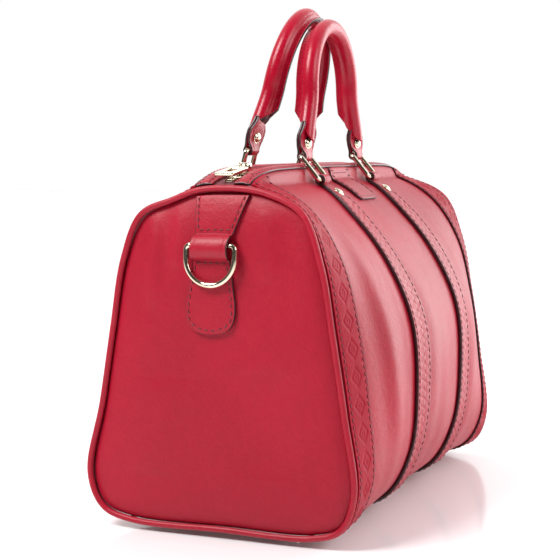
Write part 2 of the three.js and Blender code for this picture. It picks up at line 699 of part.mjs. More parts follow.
function dRingTab(side) {
  const layer = (lift) => TAB_OUTLINE.map(([z, half]) => [-1, 0, 1].map(
    (across) => onGusset(side, across * half, z, lift),
  ));
  const flat = plate(layer(GAP + STRAP), layer(GAP));
  const axis = onGusset(side, 0, D_BAR_Z, D_BAR_LIFT);
  const loop = join(
    rod(D_BAR_LIFT - GAP, 26, 20, axis, vector(0, 1, 0)),
    box(D_BAR_LIFT, 26, 2 * (D_BAR_LIFT - GAP), axis.x - side * (D_BAR_LIFT / 2 - 0.6), 0, D_BAR_Z),
  );
  return cut(join(flat, loop), rod(D_WIRE + GAP + 0.1, 40, 14, axis, vector(0, 1, 0)));
}

// The D hangs from its straight bar at the origin, in the plane across the bag
function dRingPath() {
  const corner = 3;
  const bow = Array.from({ length: 13 }, (_, i) => {
    const angle = Math.PI + Math.PI * (i / 12);
    return vector(0, D_HALF_WIDTH * Math.cos(angle), -D_LEG + D_HALF_WIDTH * Math.sin(angle));
  });
  const corners = [[1, 0], [-1, 90]].flatMap(([sign, start]) => [0, 30, 60, 90].map((turn) => {
    const angle = degrees(start + turn);
    const y = sign * (D_HALF_WIDTH - corner) + corner * Math.cos(angle);
    return vector(0, y, corner * Math.sin(angle) - corner);
  }));
  return [...corners, ...bow];
}

for (const [name, side] of [['left', -1], ['right', 1]]) {
  add(`${name}_d_ring_tab`, dRingTab(side), darkLeather());
  const dRing = add(
    `${name}_d_ring`,
    hoop(sweep(dRingPath(), circle(D_WIRE, 8), vector(1, 0, 0), true)),
    gold(),
  );
  dRing.position.copy(onGusset(side, 0, D_BAR_Z, D_BAR_LIFT));
  dRing.rotation.y = -side * degrees(D_TILT);
}

// Feet, whose shanks pass through the base panel and the board
const footNames = ['left_front_foot', 'left_back_foot', 'right_front_foot', 'right_back_foot'];
const footProfile = [
  [0, 0], [4.5, 0], [6, 1.2], [6.3, FOOT_HEIGHT], [1.8, FOOT_HEIGHT], [1.8, 12.6], [3.2, 12.6], [0, 14],
].map(([radius, z]) => new THREE.Vector2(radius, z));

feet.forEach(([x, y], i) => {
  const foot = closed(new THREE.LatheGeometry(footProfile, 12).rotateX(Math.PI / 2));
  add(footNames[i], foot, gold()).position.set(x, y, 0);
});

// Inside: the base board, and the lining with its mouth under the zip
const baseBoard = box(2 * FOOT_X + 20, 100, BOARD_THICKNESS, 0, 0, BOARD_Z + BOARD_THICKNESS / 2);
add('base_board', cut(baseBoard, ...footHoles), board());

function liningCore(inset, floorZ) {
  const floor = box(500, 300, floorZ, 0, 0, floorZ / 2);
  return cut(bagCore(inset, PANEL_END - inset), floor);
}

const liningInset = LEATHER + 1.4;
const liningFloor = 14.4;
add('lining', cut(
  liningCore(liningInset, liningFloor),
  liningCore(liningInset + LINING, liningFloor + LINING),
  box(2 * CHAIN_END + 4, 14.4, 80, 0, 0, 220),
), liningCloth());

export default bag;
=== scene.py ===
import json
import math

import bmesh
import bpy
import numpy as np
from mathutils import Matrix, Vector


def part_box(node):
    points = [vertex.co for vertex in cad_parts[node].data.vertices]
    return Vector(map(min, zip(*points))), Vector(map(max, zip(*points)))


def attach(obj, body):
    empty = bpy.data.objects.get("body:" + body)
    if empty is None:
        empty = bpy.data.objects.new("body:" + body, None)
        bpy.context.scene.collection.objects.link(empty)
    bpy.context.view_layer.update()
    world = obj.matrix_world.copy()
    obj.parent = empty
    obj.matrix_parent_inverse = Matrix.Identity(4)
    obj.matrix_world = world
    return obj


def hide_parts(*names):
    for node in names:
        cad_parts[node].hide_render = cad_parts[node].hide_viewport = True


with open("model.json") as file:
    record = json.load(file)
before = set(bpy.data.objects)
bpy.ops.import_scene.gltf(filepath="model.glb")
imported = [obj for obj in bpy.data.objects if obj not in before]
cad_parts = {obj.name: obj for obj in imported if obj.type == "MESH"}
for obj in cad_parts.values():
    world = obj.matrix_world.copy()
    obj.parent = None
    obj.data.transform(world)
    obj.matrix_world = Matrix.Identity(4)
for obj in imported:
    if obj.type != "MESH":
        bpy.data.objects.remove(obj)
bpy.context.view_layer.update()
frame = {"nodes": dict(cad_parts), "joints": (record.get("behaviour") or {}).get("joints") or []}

# A red leather zip-top handbag. Lengths are millimetres and become metres when a mesh is made.
# X runs along the bag, the front is towards -Y, +Z is up.
MM = 0.001

# The bag's shape, the same as in the CAD model
FACE_X = 170.5
GUSSET_BULGE = 2.5
TOP_LEAN = 4.3
LEAN_START = 180
TOP_Z = 242
CROWN_Z = 248
ROLL_HEIGHT = 8
ROLL_STATION = 8.48
ROLL_WIDTH = 0.25
ROLL_FULLNESS = 8
BASE_Z = 6
GAP = 0.3
LEATHER = 2.4
BAND = 1.6
STRAP = 2.6
PIPING_RADIUS = 2.2
PIPING_INSET = 0.6
EDGE_DOME = 0.45                 # how far a strip's painted edge swells out
STITCH_INSET = 2.0               # from a strip's edge to its stitch line
PANEL_END = 167.4
PANEL_SMOOTH_END = 166           # the panels' first and last rows are this far out
PANEL_LOW = 1.02                 # stations where the long panels and the base meet
PANEL_TOP = 8.45
TRIM_TOP = 8.35                  # station where the end bands stop under the zip bands
BAND_EDGE = 143
ZIP_LOW = 8.38                   # stations of the zip bands' edges
ZIP_TOP = 8.75
STATION_LENGTH = 32.0            # millimetres along the leather for one station near the zip
TAPE_LOW = 8.48                  # stations of the tapes' edges
TAPE_TOP = 8.87
TAPE_END_RISE = 0.125            # how far the tapes close past the last tooth, in stations
LABEL_LOW = 7.25
LABEL_TOP = 8.33
LABEL_HALF = 20
TOOTH_PITCH = 2.5
STRAP_X = 56
STRAP_WIDTH = 25
STRAP_NECK = 13
RING_WIRE = 1.9
RING_WIDTH = 18
RING_HEIGHT = 22.6
LOOP_BORE = 2.3
LOOP_OUTSIDE = 4.3
RING_STATION = 7.97
RIVET_STATION = 7.5
RING_TILT = {"front": 40, "back": 15}
HANDLE_TILT = {"front": 1, "back": 12.8}
HANDLE_HEIGHT = {"front": 98, "back": 105}
HANDLE_HALF_SPAN = 43
HANDLE_ARCH_Z = 50
HANDLE_END_Z = 19.5
HANDLE_ROOT_Z = 10
TAB_SPLAY = 0.16
HANDLE_RADIUS = 6.4
FLANGE_REACH = 11.2
FLANGE_HALF = 1.5
END_SLANT = 1.3
RIVET_Z = 9.5
CHAIN_END = 150
D_BAR_Z = 203
D_HALF_WIDTH = 18
D_LEG = 9
D_WIRE = 2
D_TILT = 3
FOOT_HEIGHT = 3.4
TOWARDS = {"front": -1, "back": 1}
SIDES = {"left": -1, "right": 1}

# Half outline, bottom centre to top centre: gusset y, z, middle y, z, fullness
OUTLINE = np.array([
    [0, BASE_Z, 0, BASE_Z, 2.6],
    [68, BASE_Z + 0.5, 52, BASE_Z + 0.8, 2.6],
    [88.5, 14, 84, 17, 2.6],
    [98, 38, 104, 50, 2.6],
    [91, 92, 110, 96, 2.6],
    [82.5, 145, 105.5, 146, 2.6],
    [74, 192, 83, 190, 4],
    [60, 225, 54, 223, 5],
    [32, 239, 29, 241, 8],
    [0, TOP_Z, 0, CROWN_Z, 12],
])
TOP_STATION = len(OUTLINE) - 1


def smoothstep(value, low, high):
    share = np.clip((value - low) / (high - low), 0, 1)
    return share * share * (3 - 2 * share)


def hump(value, middle, width):
    return np.exp(-(((value - middle) / width) ** 2))


# ---- The bag's surface

def lean_at(z):
    rise = np.maximum(0, (z - LEAN_START) / (TOP_Z - LEAN_START))
    return TOP_LEAN * rise * rise


def on_outline(shape_x, x, station):
    """Points at x and station on the outline that the bag has at shape_x."""
    shape_x, x, station = np.broadcast_arrays(*map(np.float64, (shape_x, x, station)))
    reach = np.clip(np.abs(shape_x) / FACE_X, 0, 1)[..., None]
    full = (1 - reach ** OUTLINE[:, 4])[..., None]
    half = OUTLINE[:, 0:2] + (OUTLINE[:, 2:4] - OUTLINE[:, 0:2]) * full
    ring = np.concatenate([half, half[..., -2:0:-1, :] * [-1, 1]], -2)
    count = ring.shape[-2]
    first = np.floor(np.abs(station)).astype(int)
    w = (np.abs(station) - first)[..., None]
    p0, p1, p2, p3 = (
        np.take_along_axis(ring, ((first + k) % count)[..., None, None], -2)[..., 0, :]
        for k in (-1, 0, 1, 2)
    )
    d0, d1, d2 = (
        np.sqrt(np.linalg.norm(b - a, axis=-1, keepdims=True))
        for a, b in ((p0, p1), (p1, p2), (p2, p3))
    )
    t1 = ((p1 - p0) / d0 - (p2 - p0) / (d0 + d1) + (p2 - p1) / d1) * d1
    t2 = ((p2 - p1) / d1 - (p3 - p1) / (d1 + d2) + (p3 - p2) / d2) * d1
    c2 = -3 * p1 + 3 * p2 - 2 * t1 - t2
    c3 = 2 * p1 - 2 * p2 + t1 + t2
    yz = p1 + t1 * w + c2 * w * w + c3 * w ** 3
    z = yz[..., 1]
    return np.stack([x * (1 - lean_at(z) / FACE_X), yz[..., 0] * np.sign(station), z], -1)


# Soft folds in the long panels: face, x and z of both ends, width, height
FOLDS = [
    (-1, -118, 215, -100, 60, 9, 1.3),
    (-1, -92, 200, -84, 90, 8, -0.9),
    (-1, -20, 190, -28, 70, 14, 0.8),
    (-1, 22, 200, 14, 60, 16, -0.7),
    (-1, 96, 215, 88, 70, 11, 1.1),
    (-1, 124, 190, 116, 50, 8, -0.8),
    (1, -110, 200, -120, 60, 10, -1.0),
    (1, -88, 215, -82, 80, 9, 1.1),
    (1, 10, 195, 22, 60, 15, 0.9),
    (1, 92, 200, 100, 70, 10, -0.9),
    (1, 122, 205, 112, 80, 9, 1.2),
]


def fold_height(across, z, folds):
    """Long soft ridges: each one fades out at its ends."""
    total = np.zeros(np.broadcast(across, z).shape)
    for top_x, top_z, low_x, low_z, width, height in folds:
        share = (top_z - z) / (top_z - low_z)
        middle = top_x + (low_x - top_x) * np.clip(share, 0, 1)
        fade = np.clip(1 - (2 * share - 1) ** 4, 0, 1)
        total += height * fade * hump(across, middle, width)
    return total


def relief(x, station, z):
    """How far the leather stands off its drawn shape: fuller between the straps, pinched under them."""
    away = np.abs(x)
    ends = 1 - smoothstep(away, 138, 160)
    height = smoothstep(np.abs(station), 1.6, 3.2) * (1 - smoothstep(np.abs(station), 6.2, 7.4))
    pillow = 1.5 * hump(away, 96, 24) + 1.1 * hump(away, 0, 30) - 1.5 * hump(away, STRAP_X, 17)
    waves = 0.35 * np.sin(x / 21 + z / 34) + 0.25 * np.sin(x / 11 - z / 47 + 1.3)
    waves += 0.16 * np.sin(x / 4.3 + z / 60) + 0.12 * np.sin(x / 6.1 - z / 85 + 0.7)
    folds = sum(
        fold_height(x, z, [fold[1:]]) * (np.sign(station) == fold[0]) for fold in FOLDS
    )
    return ends * height * (pillow + waves + folds)


def roll_at(x, station):
    """How far the padded roll beside the zip stands out."""
    full = 1 - np.clip(np.abs(x) / FACE_X, 0, 1) ** ROLL_FULLNESS
    across = (np.abs(station) - ROLL_STATION) / ROLL_WIDTH
    return ROLL_HEIGHT * full * np.exp(-(across ** 4))


def on_bag(x, station, lift=0.0):
    """Points at a lift above the bag's surface."""
    x, station, lift = np.broadcast_arrays(*map(np.float64, (x, station, lift)))
    step = 0.02
    point = on_outline(x, x, station)
    along = on_outline(x + step, x + step, station) - on_outline(x - step, x - step, station)
    around = on_outline(x, x, station + step) - on_outline(x, x, station - step)
    around[np.abs(station) < step] = (0, 1, 0)
    normal = np.cross(along, around)
    normal /= np.linalg.norm(normal, axis=-1, keepdims=True)
    outward = point[..., 1] * normal[..., 1] + (point[..., 2] - TOP_Z / 2) * normal[..., 2]
    normal *= np.where(outward < 0, -1, 1)[..., None]
    out = lift + roll_at(x, station) + relief(x, station, point[..., 2])
    return point + normal * out[..., None]


# Soft folds in the gussets: y and z of both ends, width, height
GUSSET_FOLDS = [
    (29, 238, 33, 186, 5.5, 0.9),
    (38, 236, 43, 172, 6, -0.8),
    (48, 230, 51, 158, 6.5, 1.0),
    (59, 222, 60, 150, 7, -0.7),
    (-30, 236, -38, 178, 8, 0.9),
    (-50, 226, -52, 150, 10, -0.9),
    (40, 110, 52, 40, 22, 1.2),
    (-36, 120, -30, 44, 24, -1.0),
]


def gusset_x(y, z):
    bulge = GUSSET_BULGE * (1 - (y / 100) ** 2) * (1 - ((z - 120) / 118) ** 2)
    edge = hump(y, 0, 17) * smoothstep(z, 140, 150)
    soft = fold_height(y, z, GUSSET_FOLDS) + 0.3 * np.sin(y / 19 + z / 27)
    return FACE_X - lean_at(z) + np.maximum(0, bulge) + soft * (1 - edge) * smoothstep(bulge, 0, 0.6)


def on_gusset(side, y, z, lift):
    y, z, lift = np.broadcast_arrays(*map(np.float64, (y, z, lift)))
    return np.stack([side * (gusset_x(y, z) + lift), y, z], -1)


def rim_tuck(distance):
    """How far a gusset sinks towards its piping, from the distance to its rim."""
    return 3.0 * np.exp(-distance / 8.5)


def settle(points):
    """The slump of the filled bag: at the left end its lower back corner sags outwards, and the
    back half of the top edge dips."""
    points = np.array(points, float)
    x, y, z = points[..., 0], points[..., 1], points[..., 2]
    left = smoothstep(-x, 40, 165)
    back = smoothstep(y, 20, 95)
    points[..., 1] += 4.5 * left * back * hump(z, 34, 38)
    points[..., 2] -= 4.0 * smoothstep(-x, 90, 165) * hump(y, 40, 20) * smoothstep(z, 190, 238)
    return points


# ---- Meshes

def new_piece(name, points, faces, body, materials, face_materials=None, soft=True, node=None):
    """A mesh object in metres that rides on a body. points are in millimetres."""
    mesh = bpy.data.meshes.new(name)
    points = np.asarray(points, float).reshape(-1, 3)
    if soft:
        points = settle(points)
    mesh.from_pydata((points * MM).tolist(), [], faces)
    for material in materials:
        mesh.materials.append(material)
    if face_materials is not None:
        mesh.polygons.foreach_set("material_index", face_materials)
    mesh.polygons.foreach_set("use_smooth", [True] * len(mesh.polygons))
    mesh.validate()
    mesh.update()
    piece = bpy.data.objects.new(name, mesh)
    bpy.context.scene.collection.objects.link(piece)
    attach(piece, body)
    if node:
        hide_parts(node)


def face_out(points, faces):
    """Turns the faces of a closed mesh outwards, from the sign of its volume."""
    points = np.asarray(points, float).reshape(-1, 3)
    volume = 0.0
    for size in {len(face) for face in faces}:
        corners = points[np.array([face for face in faces if len(face) == size])]
        volume += (corners[:, :1] * np.cross(corners[:, 1:-1], corners[:, 2:])).sum()
    return faces if volume > 0 else [tuple(reversed(face)) for face in faces]


def loft(rings, loop=False):
    """Quads between rings of points, with a cap at each end unless it closes on itself.
    Returns points, faces and each face's column, which is -1 on a cap."""
    rings = np.asarray(rings, float)
    rows, count = rings.shape[:2]
    faces, columns = [], []
    for i in range(rows if loop else rows - 1):
        j = (i + 1) % rows
        for k in range(count):
            n = (k + 1) % count
            faces.append((i * count + k, i * count + n, j * count + n, j * count + k))
            columns.append(k)
    if not loop:
        faces.append(tuple(range(count))[::-1])
        faces.append(tuple(range((rows - 1) * count, rows * count)))
        columns += [-1, -1]
    return rings.reshape(-1, 3), face_out(rings, faces), columns


def sheet_mesh(outer, inner):
    """A curved sheet with thickness, from two grids of points. A rim face's mark is 1."""
    rows, columns = outer.shape[:2]
    size = rows * columns
    quads = [
        (i * columns + k, i * columns + k + 1, (i + 1) * columns + k + 1, (i + 1) * columns + k)
        for i in range(rows - 1) for k in range(columns - 1)
    ]
    edge = list(range(columns))
    edge += [i * columns + columns - 1 for i in range(1, rows)]
    edge += [(rows - 1) * columns + k for k in range(columns - 2, -1, -1)]
    edge += [i * columns for i in range(rows - 2, 0, -1)]
    rim = [(b, a, a + size, b + size) for a, b in zip(edge, edge[1:] + edge[:1])]
    faces = quads + [tuple(size + i for i in reversed(quad)) for quad in quads] + rim
    marks = [0] * (2 * len(quads)) + [1] * len(rim)
    points = np.concatenate([outer.reshape(-1, 3), inner.reshape(-1, 3)])
    return points, face_out(points, faces), marks


def lathe(profile, steps=40):
    """A turned solid from (radius, z) points that start and end on the axis."""
    rings = [
        [(r * math.cos(a), r * math.sin(a), z) for r, z in profile[1:-1]]
        for a in np.linspace(0, 2 * math.pi, steps, endpoint=False)
    ]
    rings = np.array(rings)
    rows, count = rings.shape[:2]
    points = np.concatenate([rings.reshape(-1, 3), [(0, 0, profile[0][1]), (0, 0, profile[-1][1])]])
    faces = []
    for i in range(rows):
        j = (i + 1) % rows
        faces += [
            (i * count + k, i * count + k + 1, j * count + k + 1, j * count + k)
            for k in range(count - 1)
        ]
        faces.append((rows * count, i * count, j * count))
        faces.append((i * count + count - 1, rows * count + 1, j * count + count - 1))
    return points, face_out(points, faces)


def sweep(path, section, reference, closed=False):
    """Rings of a section's (side, up) points along a path. Up leans towards the reference."""
    path = np.asarray(path, float)
    if closed:
        along = np.roll(path, -1, 0) - np.roll(path, 1, 0)
    else:
        along = np.gradient(path, axis=0)
    along /= np.linalg.norm(along, axis=1, keepdims=True)
    side = np.cross(along, reference)
    side /= np.linalg.norm(side, axis=1, keepdims=True)
    up = np.cross(side, along)
    section = np.asarray(section, float)
    return (
        path[:, None] + side[:, None] * section[None, :, 0:1] + up[:, None] * section[None, :, 1:2]
    )


def circle(radius, sides):
    angles = np.linspace(0, 2 * math.pi, sides, endpoint=False)
    return np.stack([radius * np.cos(angles), radius * np.sin(angles)], 1)


def turn_x(points, degrees):
    c, s = math.cos(math.radians(degrees)), math.sin(math.radians(degrees))
    return np.asarray(points) @ np.array([[1, 0, 0], [0, c, s], [0, -s, c]])


def turn_y(points, degrees):
    c, s = math.cos(math.radians(degrees)), math.sin(math.radians(degrees))
    return np.asarray(points) @ np.array([[c, 0, -s], [0, 1, 0], [s, 0, c]])


def turn_z(points, degrees):
    c, s = math.cos(math.radians(degrees)), math.sin(math.radians(degrees))
    return np.asarray(points) @ np.array([[c, s, 0], [-s, c, 0], [0, 0, 1]])


def combine(parts):
    """One mesh from several (points, faces)."""
    points, faces, count = [], [], 0
    for part_points, part_faces in parts:
        points.append(part_points)
        faces += [tuple(count + k for k in face) for face in part_faces]
        count += len(part_points)
    return np.concatenate(points), faces


def moved(part, offset):
    return part[0] + offset, part[1]


def laid(part):
    """Turns a part drawn along +Z so that it lies along Y."""
    return part[0][:, [0, 2, 1]] * [1, -1, 1], part[1]


def onto(points, centre, normal):
    """Turns points drawn along +Z so that +Z points along the normal, at a centre."""
    turn = Vector((0, 0, 1)).rotation_difference(Vector(normal)).to_matrix()
    return np.asarray(points) @ np.array(turn).T + centre


def strip(rows, half, place, low, high, columns=9, relief_at=None, painted=(-1, 1)):
    """A leather strip with domed edges: place(row, across, lift) gives its points, and half(row)
    its half width. relief_at(along, across, half) lowers its upper face. painted names the sides
    whose edges are painted. Returns points, faces and marks: 1 on the painted edges."""
    rows = np.asarray(rows, float)
    halves = np.broadcast_to(half(rows), rows.shape)
    insets = np.array([0, 0.7, 1.5, STITCH_INSET, 2.5, 3.2])
    inside = np.linspace(-1, 1, columns)[None, :] * (halves[:, None] - 4)
    left = -(halves[:, None] - insets[None, :])
    across_top = np.concatenate([left, inside, -left[:, ::-1]], 1)
    middle = place(rows, 0 * rows, 0 * rows + high)
    steps = np.linalg.norm(np.diff(middle, axis=0), axis=1)
    along = np.concatenate([[0], np.cumsum(steps)])
    lift_top = np.full(across_top.shape, high, float)
    groove = hump(np.abs(halves[:, None] - np.abs(across_top)), STITCH_INSET, 0.55)
    lift_top -= 0.28 * groove
    lift_top -= 0.25 * (np.abs(across_top) / halves[:, None]) ** 8
    if relief_at is not None:
        lift_top -= relief_at(along[:, None], across_top, halves[:, None])
    arc = np.linspace(0, math.pi, 7)[1:-1]
    edge_out = EDGE_DOME * np.sin(arc)
    edge_lift = (high + low) / 2 + (high - low) / 2 * 0.92 * np.cos(arc)
    right = halves[:, None] + edge_out[None, :]
    bottom = halves[:, None] * np.array([1, 0.5, 0, -0.5, -1])[None, :]
    across = np.concatenate([across_top, right, bottom, -right[:, ::-1]], 1)
    lifts = np.concatenate([
        lift_top,
        np.broadcast_to(edge_lift, right.shape),
        np.full(bottom.shape, low, float),
        np.broadcast_to(edge_lift[::-1], right.shape),
    ], 1)
    rings = place(np.broadcast_to(rows[:, None], across.shape), across, lifts)
    points, faces, face_columns = loft(rings)
    tops = across_top.shape[1] - 1
    edges = {-1}
    if 1 in painted:
        edges |= set(range(tops, tops + len(arc) + 1))
    if -1 in painted:
        edges |= set(range(across.shape[1] - len(arc) - 1, across.shape[1]))
    return points, faces, [1 if column in edges else 0 for column in face_columns]


# ---- Stitches

def stitch_template():
    rings = [(-1, 0.25), (-0.8, 0.75), (-0.35, 1), (0.35, 1), (0.8, 0.75), (1, 0.25)]
    points = [
        (a, r * math.cos(t), r * math.sin(t))
        for a, r in rings for t in np.linspace(0, 2 * math.pi, 6, endpoint=False)
    ]
    _, faces, _ = loft(np.array(points).reshape(len(rings), 6, 3))
    return np.array(points), faces


STITCH_POINTS, STITCH_FACES = stitch_template()


def walk(points, pitch):
    """Evenly spaced positions along a polyline, as fractional indices."""
    lengths = np.linalg.norm(np.diff(points, axis=0), axis=1)
    total = np.concatenate([[0], np.cumsum(lengths)])
    count = max(2, int(round(total[-1] / pitch)))
    marks = (np.arange(count) + 0.5) * total[-1] / count
    return np.interp(marks, total, np.arange(len(points)))


def stitches(lines, pitch=5.0, length=3.7, radius=0.52, slant=9):
    """Threads along lines, each given as (points, points one millimetre further out)."""
    all_points, all_faces = [], []
    count = 0
    for points, above in lines:
        points, above = np.asarray(points, float), np.asarray(above, float)
        for index in walk(points, pitch):
            i = min(int(index), len(points) - 2)
            share = index - i
            here = points[i] + (points[i + 1] - points[i]) * share
            normal = above[i] - points[i]
            normal /= np.linalg.norm(normal)
            along = points[i + 1] - points[i]
            along -= normal * along.dot(normal)
            along /= np.linalg.norm(along)
            side = np.cross(normal, along)
            turn = math.radians(slant)
            along, side = (
                along * math.cos(turn) + side * math.sin(turn),
                side * math.cos(turn) - along * math.sin(turn),
            )
            a, b, c = STITCH_POINTS.T
            bend = -0.35 * a * a
            all_points.append(
                here + along * (a * length / 2)[:, None] + side * (b * radius)[:, None]
                + normal * (c * radius * 0.8 + bend)[:, None]
            )
            all_faces += [tuple(count + k for k in face) for face in STITCH_FACES]
            count += len(STITCH_POINTS)
    return np.concatenate(all_points), all_faces


def stitch_piece(name, lines, body, slot, soft=True, **options):
    points, faces = stitches(lines, **options)
    new_piece(name, points, faces, body, [THREAD], soft=soft)


# ---- Materials

def rgb(red, green, blue):
    """A colour from its 0 to 255 display values."""
    return tuple(
        (v / 12.92 if v <= 0.04045 else ((v + 0.055) / 1.055) ** 2.4)
        for v in (red / 255, green / 255, blue / 255)
    ) + (1,)


class Nodes:
    """A short way to build a material's nodes."""

    def __init__(self, name):
        self.material = bpy.data.materials.new(name)
        self.material.use_nodes = True
        self.tree = self.material.node_tree
        self.shader = self.tree.nodes["Principled BSDF"]
        self.place = self.tree.nodes.new("ShaderNodeTexCoord").outputs["Object"]

    def node(self, kind, inputs=None, **settings):
        made = self.tree.nodes.new(kind)
        for key, value in settings.items():
            setattr(made, key, value)
        for key, value in (inputs or {}).items():
            self.plug(made.inputs[key], value)
        return made

    def plug(self, socket, value):
        if isinstance(value, bpy.types.NodeSocket):
            self.tree.links.new(value, socket)
        else:
            socket.default_value = value

    def set(self, **inputs):
        for key, value in inputs.items():
            self.plug(self.shader.inputs[key.replace("_", " ")], value)

    def noise(self, scale, detail=4, roughness=0.5, distortion=0.0):
        return self.node("ShaderNodeTexNoise", {
            "Vector": self.place, "Scale": scale, "Detail": detail,
            "Roughness": roughness, "Distortion": distortion,
        }).outputs["Fac"]

    def cells(self, scale, feature="F1"):
        return self.node("ShaderNodeTexVoronoi", {"Vector": self.place, "Scale": scale},
                         feature=feature).outputs["Distance"]

    def fit(self, value, low, high, out_low, out_high):
        return self.node("ShaderNodeMapRange", {
            "Value": value, "From Min": low, "From Max": high, "To Min": out_low, "To Max": out_high,
        }).outputs["Result"]

    def blend(self, share, first, second):
        made = self.node("ShaderNodeMix", data_type="RGBA")
        sockets = {socket.identifier: socket for socket in made.inputs}
        self.plug(sockets["Factor_Float"], share)
        self.plug(sockets["A_Color"], first)
        self.plug(sockets["B_Color"], second)
        return next(socket for socket in made.outputs if socket.identifier == "Result_Color")

    def sum(self, first, second, operation="ADD"):
        return self.node("ShaderNodeMath", {0: first, 1: second}, operation=operation).outputs[0]

    def bump(self, height, distance, strength=1.0, under=None):
        made = self.node("ShaderNodeBump", {
            "Height": height, "Distance": distance, "Strength": strength,
        })
        if under is not None:
            self.plug(made.inputs["Normal"], under)
        return made.outputs["Normal"]


def leather(name, color, deep, roughness=0.42, grain=0.00009, wear=0.5, shine=0.36):
    """Smooth full-grain calf: fine pores, soft creases, uneven dye and a waxed sheen."""
    n = Nodes(name)
    dye = n.noise(9, 5, 0.55)
    mottle = n.noise(160, 3, 0.6)
    share = n.sum(n.fit(dye, 0.3, 0.7, 0, 0.75), n.fit(mottle, 0.35, 0.65, -0.12, 0.12))
    base = n.blend(share, deep, color)
    edge = n.node("ShaderNodeNewGeometry").outputs["Pointiness"]
    worn = n.fit(edge, 0.53, 0.62, 0, wear)
    lighter = tuple(min(1, c * 1.35 + 0.01) for c in color[:3]) + (1,)
    n.set(Base_Color=n.blend(worn, base, lighter))
    pores = n.cells(1500)
    veins = n.noise(420, 6, 0.65, 1.2)
    creases = n.noise(70, 4, 0.5, 2.0)
    rough = n.sum(n.fit(dye, 0.2, 0.8, roughness - 0.05, roughness + 0.06),
                  n.fit(veins, 0.3, 0.7, -0.03, 0.05))
    n.set(Roughness=rough)
    fine = n.bump(n.sum(n.fit(pores, 0, 0.7, 0, 1), n.fit(veins, 0.2, 0.8, 0, 1.4)), grain, 0.8)
    n.set(Normal=n.bump(creases, grain * 9, 0.35, fine))
    n.set(IOR=1.5, Specular_IOR_Level=shine, Coat_Weight=shine / 6, Coat_Roughness=0.25)
    n.set(Sheen_Weight=0.03, Sheen_Roughness=0.45, Sheen_Tint=rgb(255, 170, 180))
    return n.material


def edge_paint():
    """The near-black brown paint on cut edges."""
    n = Nodes("edge_paint")
    patches = n.noise(240, 4, 0.6)
    n.set(Base_Color=n.blend(n.fit(patches, 0.3, 0.7, 0, 1), rgb(38, 16, 20), rgb(62, 30, 34)))
    n.set(Roughness=n.fit(patches, 0.3, 0.7, 0.32, 0.5))
    n.set(Normal=n.bump(patches, 0.00008, 0.6), Coat_Weight=0.25, Coat_Roughness=0.2)
    return n.material


def thread():
    """Waxed bonded thread with its twist."""
    n = Nodes("dark_red_thread")
    twist = n.node("ShaderNodeTexWave", {
        "Vector": n.place, "Scale": 620, "Distortion": 1.5, "Detail": 1,
    }, bands_direction="DIAGONAL").outputs["Fac"]
    n.set(Base_Color=n.blend(twist, rgb(84, 4, 22), rgb(124, 12, 38)))
    n.set(Roughness=n.fit(twist, 0, 1, 0.6, 0.42), Normal=n.bump(twist, 0.00006, 0.7))
    n.set(Sheen_Weight=0.3, Sheen_Roughness=0.4)
    return n.material


def gold():
    """Polished pale gold plating, with hairline scratches and slight smudges."""
    n = Nodes("pale_gold")
    smudge = n.noise(70, 4, 0.6)
    scratch = n.node("ShaderNodeTexNoise", {
        "Vector": n.node("ShaderNodeMapping", {"Vector": n.place, "Scale": (1, 6, 1)}).outputs[0],
        "Scale": 900, "Detail": 3,
    }).outputs["Fac"]
    n.set(Base_Color=n.blend(n.fit(smudge, 0.3, 0.7, 0, 1), rgb(236, 227, 206), rgb(218, 206, 178)))
    n.set(Metallic=1.0, Roughness=n.fit(smudge, 0.3, 0.8, 0.08, 0.17))
    n.set(Normal=n.bump(scratch, 0.000012, 0.5))
    return n.material


def woven(name, first, second, scale, depth=0.0001, roughness=0.85):
    """Crossing threads, such as a zip's tape or a cotton lining."""
    n = Nodes(name)
    warp, weft, rise = (
        n.node("ShaderNodeTexWave", {"Vector": n.place, "Scale": scale, "Distortion": 0.4},
               bands_direction=direction).outputs["Fac"]
        for direction in "XYZ"
    )
    weave = n.sum(n.sum(warp, weft, "MULTIPLY"), rise, "MULTIPLY")
    lint = n.noise(300, 4, 0.7)
    n.set(Base_Color=n.blend(n.sum(weave, n.fit(lint, 0.3, 0.7, 0, 0.5)), first, second))
    n.set(Roughness=n.fit(lint, 0.3, 0.7, roughness - 0.08, roughness + 0.08))
    n.set(Normal=n.bump(weave, depth, 0.9), Sheen_Weight=0.35, Sheen_Roughness=0.5)
    return n.material


def fibreboard():
    n = Nodes("pressed_board")
    fibre = n.noise(500, 8, 0.75, 0.8)
    n.set(Base_Color=n.blend(fibre, rgb(120, 92, 62), rgb(165, 136, 100)))
    n.set(Roughness=n.fit(fibre, 0.3, 0.7, 0.85, 0.95), Normal=n.bump(fibre, 0.0002, 0.7))
    return n.material


BODY = leather("body_leather", rgb(180, 8, 44), rgb(160, 4, 36), 0.44, shine=0.32)
TRIM = leather("trim_leather", rgb(182, 10, 44), rgb(158, 6, 36), 0.40)
END_TRIM = leather("end_band_leather", rgb(176, 8, 42), rgb(152, 4, 34), 0.5, shine=0.14)
GLOSSY = leather("handle_leather", rgb(186, 10, 46), rgb(164, 6, 38), 0.27, grain=0.00004)
EDGE = edge_paint()
THREAD = thread()
GOLD = gold()
TAPE = woven("zip_tape", rgb(112, 8, 30), rgb(150, 18, 48), 1100)
COTTON = woven("lining_cotton", rgb(150, 128, 98), rgb(192, 170, 138), 420)
CORD = woven("handle_cord", rgb(190, 176, 146), rgb(226, 214, 188), 500, 0.0002)
BOARD = fibreboard()


# ---- Pieces of each kind

def trim_piece(name, mesh, node=None, top=None):
    """A strip of leather on the bag with painted edges, from what strip() returns."""
    points, faces, marks = mesh
    new_piece(name, points, faces, "bag", [top or TRIM, EDGE], marks, node=node)


